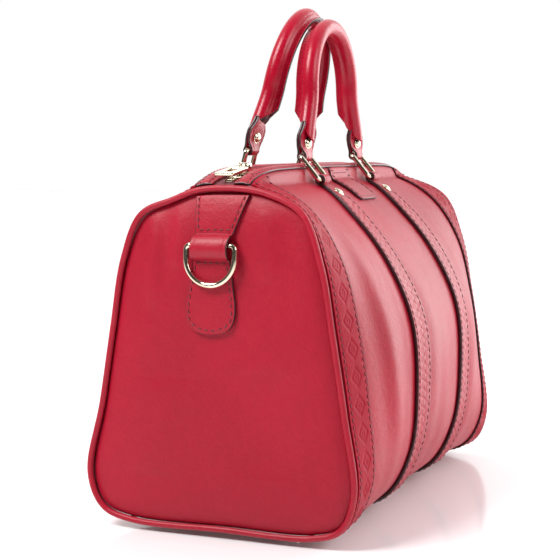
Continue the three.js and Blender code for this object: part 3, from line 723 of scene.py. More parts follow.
def metal_piece(name, points, faces, body, node):
    new_piece(name, points, faces, body, [GOLD], soft=False, node=node)


def sewn(name, lines, **options):
    """Stitches that hold trim to the bag."""
    stitch_piece(name, lines, "bag", "trim_leather", **options)


def line_on(place, rows, across, lift):
    """A stitch line's points and the points one millimetre above it."""
    rows, across = np.broadcast_arrays(np.float64(rows), np.float64(across))
    return tuple(place(rows, across, np.full(rows.shape, lift + up)) for up in (0.0, 1.0))


# ---- Panels

def long_panel(name, stations, node):
    smooth = np.linspace(-PANEL_SMOOTH_END, PANEL_SMOOTH_END, 150)
    xs = np.concatenate([[-PANEL_END], smooth, [PANEL_END]])
    grid_x, grid_s = np.meshgrid(xs, stations)
    points, faces, marks = sheet_mesh(on_bag(grid_x, grid_s, 0), on_bag(grid_x, grid_s, -LEATHER))
    new_piece(name, points, faces, "bag", [BODY, EDGE], marks, node=node)


long_panel("front_panel_leather", -np.linspace(PANEL_TOP, PANEL_LOW, 130), "front_panel")
long_panel("back_panel_leather", np.linspace(PANEL_LOW, PANEL_TOP, 130), "back_panel")
long_panel("base_panel_leather", np.linspace(-1, 1, 30), "base_panel")


# ---- Gussets and piping

def outline_loop(side, x, inset, stations):
    point = on_outline(FACE_X, x, stations)
    ahead = on_outline(FACE_X, x, stations + 0.02) - on_outline(FACE_X, x, stations - 0.02)
    ahead[:, 0] = 0
    ahead /= np.linalg.norm(ahead, axis=1, keepdims=True)
    outward = np.stack([0 * stations, ahead[:, 2], -ahead[:, 1]], 1)
    outward[np.abs(stations) < 0.01] = (0, 0, -1)
    outward[np.abs(np.abs(stations) - TOP_STATION) < 0.01] = (0, 0, 1)
    point = point - outward * inset
    point[:, 0] *= side
    return point


def loop_stations(count):
    half = np.linspace(0, TOP_STATION, count)
    return np.concatenate([half, -half[-2:0:-1]])


def gusset(word, side):
    stations = loop_stations(90)
    inset = PIPING_INSET + PIPING_RADIUS + 0.15
    edge = outline_loop(1, 0, inset, stations)
    middle = np.array([0, 0, 120])
    shares = np.concatenate([[1, 0.992, 0.98, 0.965, 0.95], np.linspace(0.93, 0.03, 90)])
    layers = []
    for lift in (0, -LEATHER):
        rings = []
        for share in shares:
            point = middle + (edge - middle) * share
            tuck = rim_tuck((1 - share) * np.linalg.norm(edge - middle, axis=1))
            rings.append(on_gusset(side, point[:, 1], point[:, 2], lift - tuck))
        layers.append(np.array(rings))
    rings = np.concatenate([layers[0][::-1], layers[1]])
    points, faces, _ = loft(rings)
    new_piece(f"{word}_gusset_leather", points, faces, "bag", [BODY],
              node=f"{word}_gusset")


def piping(word, side):
    stations = loop_stations(110)
    seam = outline_loop(side, FACE_X - PIPING_INSET, PIPING_INSET, stations)
    rings = sweep(seam, circle(PIPING_RADIUS, 14), (1, 0, 0), closed=True)
    points, faces, _ = loft(rings, loop=True)
    new_piece(f"{word}_piping_leather", points, faces, "bag", [TRIM],
              node=f"{word}_piping")


for word, side in SIDES.items():
    gusset(word, side)
    piping(word, side)


# ---- Raised pattern on the trim: small plain diamonds

def diamond_spots(along, across, half):
    """Separate diamonds down the middle of a band."""
    pitch, tall, wide = 19.0, 6.2, 5.2
    v = (along % pitch) - pitch / 2
    size = np.abs(v) / tall + np.abs(across) / wide
    return 0.55 * hump(size, 1, 0.17) + 0.45 * hump(size, 0.35, 0.17)


def diamond_chain(along, across, half):
    """Two crossing zigzags that make a chain of diamonds between the stitch lines."""
    pitch = 13.0
    reach = half - 4.2
    wave = np.abs(((along / pitch) % 1) * 4 - 2) - 1
    lines = hump(across - reach * wave, 0, 0.75) + hump(across + reach * wave, 0, 0.75)
    inner = hump(across - 0.45 * reach * wave, 0, 0.6) + hump(across + 0.45 * reach * wave, 0, 0.6)
    fade = smoothstep(half, 8.5, 11)
    return fade * (0.5 * np.clip(lines, 0, 1) + 0.3 * np.clip(inner, 0, 1))


# ---- End bands

def end_band(word, side):
    middle = side * (PANEL_END + BAND_EDGE) / 2
    half = (PANEL_END - BAND_EDGE) / 2 - EDGE_DOME
    rows = np.linspace(-TRIM_TOP, TRIM_TOP, 740)

    def place(station, across, lift):
        return on_bag(middle + across, station, lift)

    band = strip(rows, lambda s: half + 0 * s, place, GAP, GAP + BAND, 25, diamond_spots,
                 painted=(-side,))
    trim_piece(f"{word}_end_band_leather", band, f"{word}_end_band", top=END_TRIM)
    sewn(f"{word}_end_band_stitches", [
        line_on(place, rows[::3], sign * (half - STITCH_INSET), GAP + BAND) for sign in (-1, 1)
    ])


for word, side in SIDES.items():
    end_band(word, side)


# ---- Zip bands, tapes, teeth, stops and the label tab

def zip_band(word, towards):
    half = (ZIP_TOP - ZIP_LOW) / 2 * STATION_LENGTH - EDGE_DOME
    rows = np.linspace(-PANEL_END, PANEL_END, 240)

    def place(x, across, lift):
        return on_bag(x, towards * ((ZIP_LOW + ZIP_TOP) / 2 + across / STATION_LENGTH), lift)

    band = strip(rows, lambda x: half + 0 * x, place, GAP, GAP + BAND, 15, painted=(-1,))
    trim_piece(f"{word}_zip_band_leather", band, f"{word}_zip_band")
    reach = np.linspace(STITCH_INSET - half, half - STITCH_INSET, 12)
    along = [line_on(place, rows[::2], sign * (half - STITCH_INSET), GAP + BAND) for sign in (-1, 1)]
    ends = [line_on(place, side * (CHAIN_END + 4), reach, GAP + BAND) for side in (-1, 1)]
    sewn(f"{word}_zip_band_stitches", along + ends)


def zip_tape(word, towards):
    xs = np.linspace(1 - PANEL_END, PANEL_END - 1, 160)
    grid_x, share = np.meshgrid(xs, np.linspace(0, 1, 8))
    inner = TAPE_TOP + TAPE_END_RISE * smoothstep(np.abs(grid_x), CHAIN_END, CHAIN_END + 3)
    grid_s = towards * (TAPE_LOW + (inner - TAPE_LOW) * share)
    points, faces, _ = sheet_mesh(on_bag(grid_x, grid_s, -0.2), on_bag(grid_x, grid_s, -1.2))
    new_piece(f"{word}_zip_tape_weave", points, faces, "bag", [TAPE],
              node=f"{word}_zip_tape")


def tooth(x, y, towards):
    """One zip tooth: a clamp round the tape's cord and a rounded nose towards the middle."""
    profile = [(2.2, 0.75), (1.0, 1.1), (-0.3, 0.75), (-1.2, 0.95), (-1.5, 0.5)]
    outline = profile + [(a, -b) for a, b in reversed(profile)]
    half_height, rounding = 1.2, 0.2
    levels = [
        (-half_height - rounding, 0.8), (-half_height, 1), (half_height, 1),
        (half_height + rounding, 0.8),
    ]
    return np.array([
        [(x + b * scale, y + towards * a * scale, CROWN_Z - 0.4 + z) for a, b in outline]
        for z, scale in levels
    ])


def zip_teeth(word, towards):
    first = 1.5 - CHAIN_END + (0 if towards < 0 else TOOTH_PITCH / 2)
    teeth = [
        loft(tooth(x, towards * 1.9, towards))[:2]
        for x in np.arange(first, CHAIN_END - 1, TOOTH_PITCH)
    ]
    points, faces = combine(teeth)
    new_piece(f"{word}_zip_teeth_row", points, faces, "bag", [GOLD],
              node=f"{word}_zip_teeth")


for word, towards in TOWARDS.items():
    zip_band(word, towards)
    zip_tape(word, towards)
for word, towards in TOWARDS.items():
    zip_teeth(word, towards)


def label_half(station):
    """Half width of the label tab: full above, round corners at its lower edge."""
    depth = np.clip((np.abs(station) - LABEL_LOW) * STATION_LENGTH, 0, None)
    corner = 5.0
    inside = np.clip(corner - depth, 0, corner)
    return LABEL_HALF - corner + np.sqrt(np.maximum(corner ** 2 - inside ** 2, 0)) - EDGE_DOME


def label_tab():
    corner_end, seam, top = LABEL_LOW + 0.17, LABEL_LOW + 0.08, GAP + BAND + 0.4
    reach = LABEL_HALF - EDGE_DOME - STITCH_INSET

    def place(station, across, lift):
        return on_bag(across, -station, lift)

    rows = np.concatenate([
        LABEL_LOW + (corner_end - LABEL_LOW) * np.linspace(0.02, 1, 14) ** 2,
        np.linspace(corner_end + 0.02, LABEL_TOP, 24),
    ])
    trim_piece("label_tab_leather", strip(rows, label_half, place, GAP, top, 15), "label_tab")
    sides = [
        line_on(place, np.linspace(seam + 0.05, LABEL_TOP, 20), sign * reach, top) for sign in (-1, 1)
    ]
    across = np.linspace(2 - reach, reach - 2, 12)
    ends = [line_on(place, station, across, top) for station in (seam, LABEL_TOP - 0.09)]
    sewn("label_tab_stitches", sides + ends)


label_tab()


# ---- Straps, with their loops and rivets

STRAP_SURFACE = GAP + STRAP + 0.4
STITCH_END = 7.34                # station of the stitches across a strap, below its rivet
RIVET_PROFILE = [
    (0, -1.5), (1.3, -1.5), (1.4, 0), (3.9, 0), (4.15, 0.25), (4.15, 0.6), (3.95, 0.85),
    (3.55, 0.85), (3.4, 0.7), (3.2, 0.95), (2.8, 1.4), (2.2, 1.75), (1.5, 2.0), (0.8, 2.12), (0, 2.16),
]


def strap_half(station):
    taper = smoothstep(np.abs(station), 6.6, RING_STATION)
    return (STRAP_WIDTH + (STRAP_NECK - STRAP_WIDTH) * taper) / 2 - EDGE_DOME


def strap(word, middle):
    def place(station, across, lift):
        return on_bag(middle + across, station, lift)

    rows = np.linspace(-RING_STATION, RING_STATION, 720)
    band = strip(rows, strap_half, place, GAP, STRAP_SURFACE, 27, diamond_chain)
    trim_piece(f"{word}_strap_leather", band, f"{word}_strap")
    border = np.linspace(-STITCH_END - 0.02, STITCH_END + 0.02, 300)
    sides = [
        line_on(place, border, sign * (strap_half(border) - STITCH_INSET), STRAP_SURFACE)
        for sign in (-1, 1)
    ]
    width = strap_half(STITCH_END) - STITCH_INSET
    across = np.linspace(-width, width, 6)
    ends = [
        line_on(place, towards * STITCH_END, across, STRAP_SURFACE) for towards in TOWARDS.values()
    ]
    sewn(f"{word}_strap_stitches", sides + ends)


def strap_loop(name, middle, towards):
    """The strip that wraps the ring's lower bar and comes back under the strap."""
    axis = on_bag(middle, towards * RING_STATION, GAP + LOOP_OUTSIDE)
    foot = on_bag(middle, towards * RING_STATION, GAP + STRAP / 2)
    out = (foot - axis) / np.linalg.norm(foot - axis)
    ahead = np.cross((1, 0, 0), out)
    if ahead[2] < 0:
        ahead = -ahead
    radius = (LOOP_BORE + LOOP_OUTSIDE) / 2
    half_width = STRAP_NECK / 2 - EDGE_DOME
    half_thickness = 0.95

    def place(angle, across, lift):
        turned = out * np.cos(angle)[..., None] + ahead * np.sin(angle)[..., None]
        spot = axis + turned * (radius + lift)[..., None]
        spot[..., 0] = middle + across
        return spot

    wrap = np.radians(np.linspace(0, 300, 40))
    trim_piece(name, strip(wrap, lambda a: half_width + 0 * a, place, -half_thickness,
                           half_thickness, 7))


def strap_stud(face, word, middle, towards):
    seat = on_bag(middle, towards * RIVET_STATION, STRAP_SURFACE - 0.1)
    normal = on_bag(middle, towards * RIVET_STATION, STRAP_SURFACE + 1) - seat
    points, faces = lathe(RIVET_PROFILE)
    metal_piece(f"{face}_{word}_strap_stud", onto(points, seat, normal), faces, "bag",
                f"{face}_{word}_strap_rivet")


for word, side in SIDES.items():
    strap(word, side * STRAP_X)
    for face, towards in TOWARDS.items():
        strap_loop(f"{face}_{word}_strap_loop", side * STRAP_X, towards)
        strap_stud(face, word, side * STRAP_X, towards)


# ---- Rings

JOINTS = {joint["name"]: joint for joint in frame["joints"]}


def joint_place(name):
    return np.array(JOINTS[name]["pos_m"]) / MM


def corner_arc(x, z, radius, start):
    """A quarter circle of (x, z) points round a centre."""
    angle = np.radians(np.linspace(start, start + 90, 9))
    return np.stack([x + radius * np.cos(angle), z + radius * np.sin(angle)], 1)


def ring_path():
    radius = 2.6
    x, low, high = RING_WIDTH / 2 - radius, radius, RING_HEIGHT - radius
    corners = ((x, low, -90), (x, high, 0), (-x, high, 90), (-x, low, 180))
    path = np.concatenate([corner_arc(a, b, radius, start) for a, b, start in corners])
    return np.insert(path, 1, 0, axis=1)


def wire(path, radius, reference):
    points, faces, _ = loft(sweep(path, circle(radius, 20), reference, closed=True), loop=True)
    return points, faces


for face, towards in TOWARDS.items():
    hinge = joint_place(f"{face}_ring_swing")
    for word, side in SIDES.items():
        points, faces = wire(ring_path(), RING_WIRE, (0, 1, 0))
        points = turn_x(points, towards * RING_TILT[face]) + hinge + (side * STRAP_X, 0, 0)
        metal_piece(f"{face}_{word}_ring_wire", points, faces, f"{face}_rings",
                    f"{face}_{word}_ring")


# ---- Handles

def leg_x(z):
    """A leg bends smoothly from the arch's end to the end tab's line."""
    drop = HANDLE_ARCH_Z - HANDLE_ROOT_Z
    t = (HANDLE_ARCH_Z - z) / drop
    shift = STRAP_X - TAB_SPLAY * HANDLE_ROOT_Z - HANDLE_HALF_SPAN
    return HANDLE_HALF_SPAN + shift * (3 - 2 * t) * t * t + TAB_SPLAY * drop * (t - 1) * t * t


def along_handle(height, section):
    """Rings of a section's (side, up) points along the handle. The ends are cut on a slope, so
    each point of the section starts at its own height."""
    side, up = np.asarray(section, float).T
    start = HANDLE_END_Z - 0.6 + END_SLANT * up
    z = start + (HANDLE_ARCH_Z - start) * np.linspace(0, 1, 24, endpoint=False)[:, None]
    slope = (leg_x(z + 0.01) - leg_x(z - 0.01)) / 0.02
    length = np.sqrt(1 + slope ** 2)
    leg = np.stack([leg_x(z) - side / length, up + 0 * z, z + side * slope / length], -1)
    angle = np.linspace(0, math.pi, 110)[:, None]
    rise = height - HANDLE_ARCH_Z
    along_x, along_z = -HANDLE_HALF_SPAN * np.sin(angle), rise * np.cos(angle)
    length = np.hypot(along_x, along_z)
    arch = np.stack([
        HANDLE_HALF_SPAN * np.cos(angle) - side * along_z / length,
        up + 0 * angle,
        HANDLE_ARCH_Z + rise * np.sin(angle) + side * along_x / length,
    ], -1)
    return np.concatenate([leg, arch, (leg * [-1, 1, 1])[::-1]])


def cover_section(radius):
    """A rolled tube whose two edges meet in a flat stitched flange towards +Y."""
    start = math.asin(FLANGE_HALF / radius) + 0.22
    round_part = [
        (radius * math.sin(a), radius * math.cos(a))
        for a in np.linspace(start, 2 * math.pi - start, 34)
    ]
    right = [(1.5, 7.4), (1.35, 8.2), (1.12, 8.7), (1.35, 9.2), (1.4, 10.2)]
    right_edge = [(1.3, -0.45), (0.9, -0.12), (0.12, 0.05)]
    edge = right_edge + [(0.0, -0.15)] + [(-a, b) for a, b in reversed(right_edge)]
    left = [(-a, b) for a, b in reversed(right)]
    return round_part + left + [(a, FLANGE_REACH + b) for a, b in reversed(edge)] + right


def in_handle_frame(points, face):
    points = np.array(points, float)
    towards = TOWARDS[face]
    if towards > 0:
        points = points * [-1, -1, 1]
    return turn_x(points, towards * HANDLE_TILT[face]) + joint_place(f"{face}_handle_fold")


def leaf_half(z):
    """Half width of the tab's front layer at a height above the ring's bar."""
    return np.interp(z, [-6, 1, 4, 8, 12, 16, 20, 24, 28], [6, 6, 6.9, 8.2, 8.8, 8.5, 7.4, 6.0, 5.0])


TAB_TWIST = -14                  # degrees that a hanging tab turns about its own line
TAB_HALF_GAP = 2.05              # from the tab's middle plane to the rivet's heads


def twist(points, side):
    """Turns the upper part of a tab about its line, so that it follows the rolled handle."""
    points = np.array(points, float)
    z = points[..., 2]
    angle = np.radians(TAB_TWIST) * smoothstep(z, 1, 8) * (1 - smoothstep(z, 14, 24))
    middle = side * (STRAP_X - TAB_SPLAY * np.maximum(0, z))
    x, y = points[..., 0] - middle, points[..., 1].copy()
    points[..., 0] = middle + x * np.cos(angle) - y * np.sin(angle)
    points[..., 1] = x * np.sin(angle) + y * np.cos(angle)
    return points


def tab_line():
    """The tab's centre line round the ring's bar, as (y, z), from one upper end to the other."""
    radius = 3.25
    lift = 1.15
    legs = np.linspace(26, 6.0, 28)
    angle = np.radians(np.linspace(14, -194, 34))
    loop = [(radius * math.cos(a), radius * math.sin(a)) for a in angle]
    front = [(lift, z) for z in legs]
    back = [(-lift, z) for z in legs[::-1]]
    line = np.array(front + loop + back)
    for _ in range(6):
        line[1:-1] = (line[:-2] + 2 * line[1:-1] + line[2:]) / 4
    return line


def handle_tab(name, face, side, node):
    line = tab_line()
    ahead = np.gradient(line, axis=0)
    ahead /= np.linalg.norm(ahead, axis=1, keepdims=True)
    out = np.stack([-ahead[:, 1], ahead[:, 0]], 1)
    if out[0, 0] < 0:
        out = -out

    def place(row, across, lift):
        i = np.clip(np.round(row).astype(int), 0, len(line) - 1)
        y = line[i, 0] + out[i, 0] * lift
        z = line[i, 1] + out[i, 1] * lift
        x = side * (STRAP_X - TAB_SPLAY * np.maximum(0, z)) + across
        return twist(np.stack([x, y, z], -1), side)

    def half(row):
        i = np.clip(np.round(row).astype(int), 0, len(line) - 1)
        return leaf_half(line[i, 1])

    points, faces, marks = strip(np.arange(len(line)), half, place, -1.0, 1.0, 9)
    new_piece(name, in_handle_frame(points, face), faces, f"{face}_handle",
              [GLOSSY, EDGE], marks, soft=False, node=node)


def handle_cover(face):
    section = cover_section(HANDLE_RADIUS)
    points, faces, columns = loft(along_handle(HANDLE_HEIGHT[face], section))
    first_edge = next(i for i, (a, b) in enumerate(section) if b > FLANGE_REACH - 0.5)
    edges = set(range(first_edge, first_edge + 6)) | {-1}
    marks = [1 if column in edges else 0 for column in columns]
    new_piece(f"{face}_handle_leather", in_handle_frame(points, face), faces, f"{face}_handle",
              [GLOSSY, EDGE], marks, soft=False, node=f"{face}_handle_cover")
    lines = []
    for sign in (-1, 1):
        local = along_handle(HANDLE_HEIGHT[face], [(sign * 1.12, 8.8), (sign * 2.12, 8.8)])[3:-3]
        lines.append([in_handle_frame(local[:, k], face) for k in (0, 1)])
    stitch_piece(f"{face}_handle_stitches", lines, f"{face}_handle", "handle_leather", soft=False,
                 pitch=4.6, length=3.5, radius=0.55)


def handle_stud(face, word, side):
    """The rivet through both layers of a handle's end tab, with a head on each."""
    upper = [(0, -2.0), (1.3, -2.0)] + [(r, z + TAB_HALF_GAP) for r, z in RIVET_PROFILE[2:]]
    points, faces = lathe(upper)
    heads = [points * [1, 1, sign] for sign in (-1, 1)]
    points, faces = laid(combine([(head, face_out(head, faces)) for head in heads]))
    points = turn_z(points, TAB_TWIST) + (side * (STRAP_X - TAB_SPLAY * RIVET_Z), 0, RIVET_Z)
    metal_piece(f"{face}_{word}_handle_stud", in_handle_frame(points, face), faces,
                f"{face}_handle", f"{face}_{word}_handle_rivet")


for face, towards in TOWARDS.items():
    handle_cover(face)
    for word, side in SIDES.items():
        handle_tab(f"{face}_{word}_handle_tab_leather", face, -towards * side,
                   f"{face}_{word}_handle_tab")
        handle_stud(face, word, -towards * side)


# ---- D-rings and their tabs

TAB_LOW_Z = 142.5
TAB_TOP_Z = 237
TONGUE_Z = 155.5                 # where the round lower end begins
SEAM_Z = (191.0, 213.5)          # the stitches across the tab, below and above the D-ring's bar
TAB_HEIGHTS = [TAB_LOW_Z, 143.2, 145, 148, 152, 157, 164, 178, 192, 203, 210, 222, TAB_TOP_Z]
TAB_HALVES = [4.5, 8.2, 12.6, 15.7, 17.5, 18.4, 18.2, 16, 13.6, 13.6, 13.8, 16.5, 19.8]


def tab_half(z):
    return np.interp(z, TAB_HEIGHTS, TAB_HALVES) - EDGE_DOME


def tab_bump(z):
    """How far the tab stands off the gusset where it passes over the D-ring's bar."""
    share = np.clip(1 - ((z - (D_BAR_Z - 1.2)) / 9.0) ** 2, 0, 1)
    return 7.6 * np.sqrt(share) * smoothstep(share, 0, 0.25) ** 0.5


def tab_shift(side, z):
    """The left tab is sewn on slightly askew."""
    return np.interp(z, [142, 203, 237], [5.0, 3.6, -1.6]) if side < 0 else 0 * z


def d_ring_tab(word, side):
    surface = GAP + STRAP

    def place(z, across, lift):
        sunk = rim_tuck(TAB_TOP_Z + 2 - z)
        return on_gusset(side, across + tab_shift(side, z), z, lift + tab_bump(z) - sunk)

    rows = np.concatenate([
        TAB_LOW_Z + 6 * np.linspace(0, 1, 12) ** 1.6, np.linspace(149, 190, 50),
        np.linspace(190.5, 213, 90), np.linspace(214, TAB_TOP_Z, 30),
    ])
    trim_piece(f"{word}_d_ring_tab_leather", strip(rows, tab_half, place, GAP, surface, 11),
               f"{word}_d_ring_tab")

    def border(z, sign):
        return np.stack([sign * (tab_half(z) - STITCH_INSET), z], 1)

    tongue = np.linspace(151, 190, 30)
    tongue = tongue[tongue > TONGUE_Z + 0.5]
    angle = np.linspace(-math.pi / 2, math.pi / 2, 30)
    low_curve = np.stack([16.0 * np.sin(angle), TONGUE_Z - 10.4 * np.cos(angle)], 1)
    shield = np.linspace(SEAM_Z[1], TAB_TOP_Z - 0.5, 16)
    outlines = [np.concatenate([border(tongue[::-1], -1), low_curve, border(tongue, 1)])]
    outlines += [border(shield, -1), border(shield, 1)]
    for z in SEAM_Z:
        width = tab_half(z) - STITCH_INSET
        outlines.append(np.array([(across, z) for across in np.linspace(-width, width, 10)]))
    lines = [line_on(place, line[:, 1], line[:, 0], surface) for line in outlines]
    sewn(f"{word}_d_ring_tab_stitches", lines, slant=14)


def d_ring(word, side):
    radius = 3.2
    y = D_HALF_WIDTH - radius
    bow_angle = np.linspace(math.pi, 2 * math.pi, 60)
    bow = np.stack([D_HALF_WIDTH * np.cos(bow_angle), D_HALF_WIDTH * np.sin(bow_angle) - D_LEG], 1)
    corners = [corner_arc(y, -radius, radius, 0), corner_arc(-y, -radius, radius, 90)]
    path = np.insert(np.concatenate(corners + [bow]), 0, 0, axis=1)
    points, faces = wire(path, D_WIRE, (1, 0, 0))
    points = turn_y(points, -side * D_TILT) + joint_place(f"{word}_d_ring_swing")
    points = points + (0, tab_shift(side, D_BAR_Z), 0)
    metal_piece(f"{word}_d_ring_wire", points, faces, f"{word}_d_ring_body", f"{word}_d_ring")


for word, side in SIDES.items():
    d_ring_tab(word, side)
    d_ring(word, side)


# ---- Slider, pull and zip stops

def plate(name, outlines, thickness, bevel):
    """A flat plate with rounded edges and holes, from closed outlines in (x, y)."""
    curve = bpy.data.curves.new(name, "CURVE")
    curve.dimensions = "2D"
    curve.fill_mode = "BOTH"
    curve.extrude = (thickness / 2 - bevel) * MM
    curve.bevel_depth = bevel * MM
    curve.bevel_resolution = 3
    curve.offset = -bevel * MM
    for outline in outlines:
        spline = curve.splines.new("POLY")
        spline.points.add(len(outline) - 1)
        for point, (x, y) in zip(spline.points, outline):
            point.co = (x * MM, y * MM, 0, 1)
        spline.use_cyclic_u = True
    holder = bpy.data.objects.new(name + "_curve", curve)
    bpy.context.scene.collection.objects.link(holder)
    solid = holder.evaluated_get(bpy.context.evaluated_depsgraph_get())
    mesh = bpy.data.meshes.new_from_object(solid)
    bpy.data.objects.remove(holder)
    return np.array([v.co for v in mesh.vertices]) / MM, [tuple(p.vertices) for p in mesh.polygons]


def rounded(corners, radius, steps=5):
    """A polygon with its corners rounded."""
    result = []
    corners = [np.array(c, float) for c in corners]
    for i, corner in enumerate(corners):
        before = corners[i - 1] - corner
        after = corners[(i + 1) % len(corners)] - corner
        cut = min(radius, np.linalg.norm(before) / 2.1, np.linalg.norm(after) / 2.1)
        start = corner + before / np.linalg.norm(before) * cut
        end = corner + after / np.linalg.norm(after) * cut
        for t in np.linspace(0, 1, steps):
            result.append(tuple((1 - t) ** 2 * start + 2 * t * (1 - t) * corner + t ** 2 * end))
    return result


def block(size, centre, bevel):
    """A block with rounded edges."""
    cube = bmesh.new()
    bmesh.ops.create_cube(cube, size=1)
    bmesh.ops.scale(cube, vec=size, verts=cube.verts)
    bmesh.ops.bevel(cube, geom=list(cube.edges), offset=bevel, segments=3, affect="EDGES", profile=0.5)
    points = np.array([v.co for v in cube.verts]) + centre
    faces = [tuple(v.index for v in f.verts) for f in cube.faces]
    cube.free()
    return points, faces


PIVOT = joint_place("zip_pull_flip")


def zip_slider():
    rise = PIVOT[2] - CROWN_Z
    upper = rounded([(-7, -3.8), (-7, 3.8), (1, 4.5), (7, 4.5), (7, -4.5), (1, -4.5)], 2)
    lower = rounded([(-7, -3.6), (-7, 3.6), (7, 4.6), (7, -4.6)], 2)
    ear_top = [(3 * math.cos(a), rise + 3 * math.sin(a)) for a in np.linspace(0, math.pi, 14)]
    ear = plate("ear", [[(3.6, 2.4)] + ear_top + [(-3.6, 2.4)]], 1.5, 0.35)
    pin = lathe([(0, -4.9), (1.5, -4.9), (1.7, -4.6), (1.1, -4.4), (1.1, 4.4), (1.7, 4.6), (1.5, 4.9),
                 (0, 4.9)], 24)
    parts = [
        moved(plate("slider_top", [upper], 2.0, 0.6), (0, 0, 2.2)),
        moved(plate("slider_low", [lower], 1.4, 0.4), (0, 0, -3.7)),
        moved(laid(pin), (0, 0, rise)),
        block((6, 0.6, 6.2), (3.5, 0, -0.8), 0.15),
    ]
    parts += [moved(laid(ear), (0, y, 0)) for y in (-3.6, 3.6)]
    parts += [block((13, 1, 1.6), (0, y, 0.9), 0.3) for y in (-3.9, 3.9)]
    points, faces = combine(parts)
    metal_piece("zip_slider_metal", points + (PIVOT[0], 0, CROWN_Z), faces, "slider", "zip_slider")


PULL_LENGTH = 36
PULL_HALF_WIDTH = 7
PULL_THICKNESS = 2.4
PULL_DROP = 4.8                  # how far the pull's tip lies below its eye


def zip_pull():
    neck, half, end = 2.4, PULL_HALF_WIDTH, -PULL_LENGTH
    outline = rounded([(2.4, -neck), (2.4, neck), (-7, neck), (-9.5, half), (end, half), (end, -half),
                       (-9.5, -half), (-7, -neck)], 1.2)
    window = rounded([(end + 5, -3.4), (end + 5, 3.4), (end + 20, 3.4), (end + 20, -3.4)], 1.0)
    section = ((1.3, -2.2), (2.3, -2.4), (2.7, -2.0), (2.7, 2.0), (2.3, 2.4), (1.3, 2.2))
    eye = loft([
        [(r * math.cos(a), y, r * math.sin(a)) for r, y in section]
        for a in np.linspace(0, 2 * math.pi, 28, endpoint=False)
    ], loop=True)[:2]
    points, faces = combine([plate("pull", [outline, window], PULL_THICKNESS, 0.5), eye])
    angle = math.degrees(math.asin(PULL_DROP / PULL_LENGTH))
    metal_piece("zip_pull_metal", turn_y(points, -angle) + PIVOT, faces, "pull", "zip_pull")


zip_slider()
zip_pull()
for word, side in SIDES.items():
    points, faces = block((4, 6, 2.4), (side * (CHAIN_END + 2.5), 0, CROWN_Z - 2), 0.5)
    metal_piece(f"{word}_zip_stop_metal", points, faces, "bag", f"{word}_zip_stop")


# ---- Feet

FOOT_PROFILE = [
    (0, 0), (4.5, 0), (5.2, 0.35), (5.9, 1.1), (6.3, 2.0), (6.4, 2.8), (6.2, 3.3), (1.8, FOOT_HEIGHT),
    (1.8, 12.6), (3.2, 12.6), (3.2, 13.4), (0, 14),
]
for name in ("left_front_foot", "left_back_foot", "right_front_foot", "right_back_foot"):
    low_corner, high_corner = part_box(name)
    centre = (low_corner + high_corner) / 2 / MM
    points, faces = lathe(FOOT_PROFILE, 48)
    metal_piece(f"{name}_metal", points + (centre.x, centre.y, 0), faces, "bag", name)


# ---- Carried-over CAD nodes

def repaint(node, material):
    piece = frame["nodes"][node]
    piece.data.materials.clear()
    piece.data.materials.append(material)


repaint("front_handle_core", CORD)
repaint("back_handle_core", CORD)
repaint("base_board", BOARD)
repaint("lining", COTTON)


# ---- Floor, lights and camera

def stage_floor():
    mesh = bpy.data.meshes.new("floor")
    reach = 6.0
    corners = [(-reach, -reach, 0), (reach, -reach, 0), (reach, reach, 0), (-reach, reach, 0)]
    mesh.from_pydata(corners, [], [(0, 1, 2, 3)])
    floor = bpy.data.objects.new("floor", mesh)
    bpy.context.scene.collection.objects.link(floor)
    n = Nodes("pale_floor")
    n.set(Base_Color=rgb(250, 250, 251), Roughness=0.14, Specular_IOR_Level=0.35,
          Emission_Color=rgb(255, 255, 255), Emission_Strength=0.05)
    mesh.materials.append(n.material)


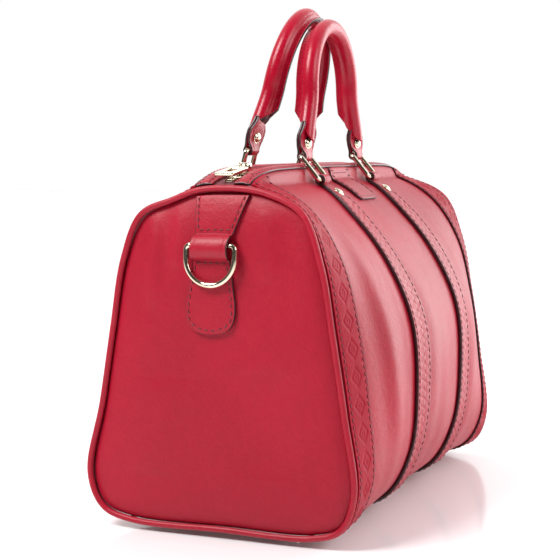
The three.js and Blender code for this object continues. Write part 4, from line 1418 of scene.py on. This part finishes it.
def studio():
    """A bright backdrop towards +X that fades to a dark room behind the camera."""
    world = bpy.data.worlds.new("studio")
    world.use_nodes = True
    tree = world.node_tree
    direction = tree.nodes.new("ShaderNodeSeparateXYZ")
    tree.links.new(tree.nodes.new("ShaderNodeTexCoord").outputs["Generated"], direction.inputs[0])
    fade = tree.nodes.new("ShaderNodeMapRange")
    fade.interpolation_type = "SMOOTHSTEP"
    for name, value in (("From Min", -0.55), ("From Max", 0.9), ("To Min", 0.06), ("To Max", 1.35)):
        fade.inputs[name].default_value = value
    tree.links.new(direction.outputs["X"], fade.inputs["Value"])
    seen = tree.nodes.new("ShaderNodeLightPath").outputs["Is Camera Ray"]
    strength = tree.nodes.new("ShaderNodeMix")
    strength.inputs["B"].default_value = 1.0
    tree.links.new(seen, strength.inputs["Factor"])
    tree.links.new(fade.outputs["Result"], strength.inputs["A"])
    background = tree.nodes["Background"]
    background.inputs["Color"].default_value = (1, 1, 1, 1)
    tree.links.new(strength.outputs["Result"], background.inputs["Strength"])
    bpy.context.scene.world = world


def area_light(name, place, target, size, power):
    data = bpy.data.lights.new(name, "AREA")
    data.shape = "RECTANGLE"
    data.size, data.size_y = size
    data.energy = power
    light = bpy.data.objects.new(name, data)
    bpy.context.scene.collection.objects.link(light)
    light.location = place
    light.rotation_euler = (Vector(target) - Vector(place)).to_track_quat("-Z", "Y").to_euler()


stage_floor()
studio()
area_light("key_softbox", (-1.15, 0.75, 1.6), (0, 0, 0.15), (0.8, 0.8), 42)
area_light("right_softbox", (1.5, -0.95, 0.55), (0, 0, 0.15), (1.2, 1.4), 20)
area_light("front_softbox", (-0.3, -1.8, 1.2), (0, 0, 0.15), (0.9, 0.9), 16)

CAMERA_PLACE = (-1.07112, -0.41738, 0.27193)
CAMERA_DOWN = 5.334              # degrees below level
CAMERA_TURN = 22.478             # degrees from the bag's long axis

camera_data = bpy.data.cameras.new("camera")
camera_data.lens = 94.46
camera_data.sensor_width = 36
camera = bpy.data.objects.new("camera", camera_data)
bpy.context.scene.collection.objects.link(camera)
camera.location = CAMERA_PLACE
camera.rotation_euler = (math.radians(90 - CAMERA_DOWN), 0, math.radians(CAMERA_TURN - 90))
bpy.context.scene.camera = camera
bpy.context.scene.view_settings.view_transform = "Standard"
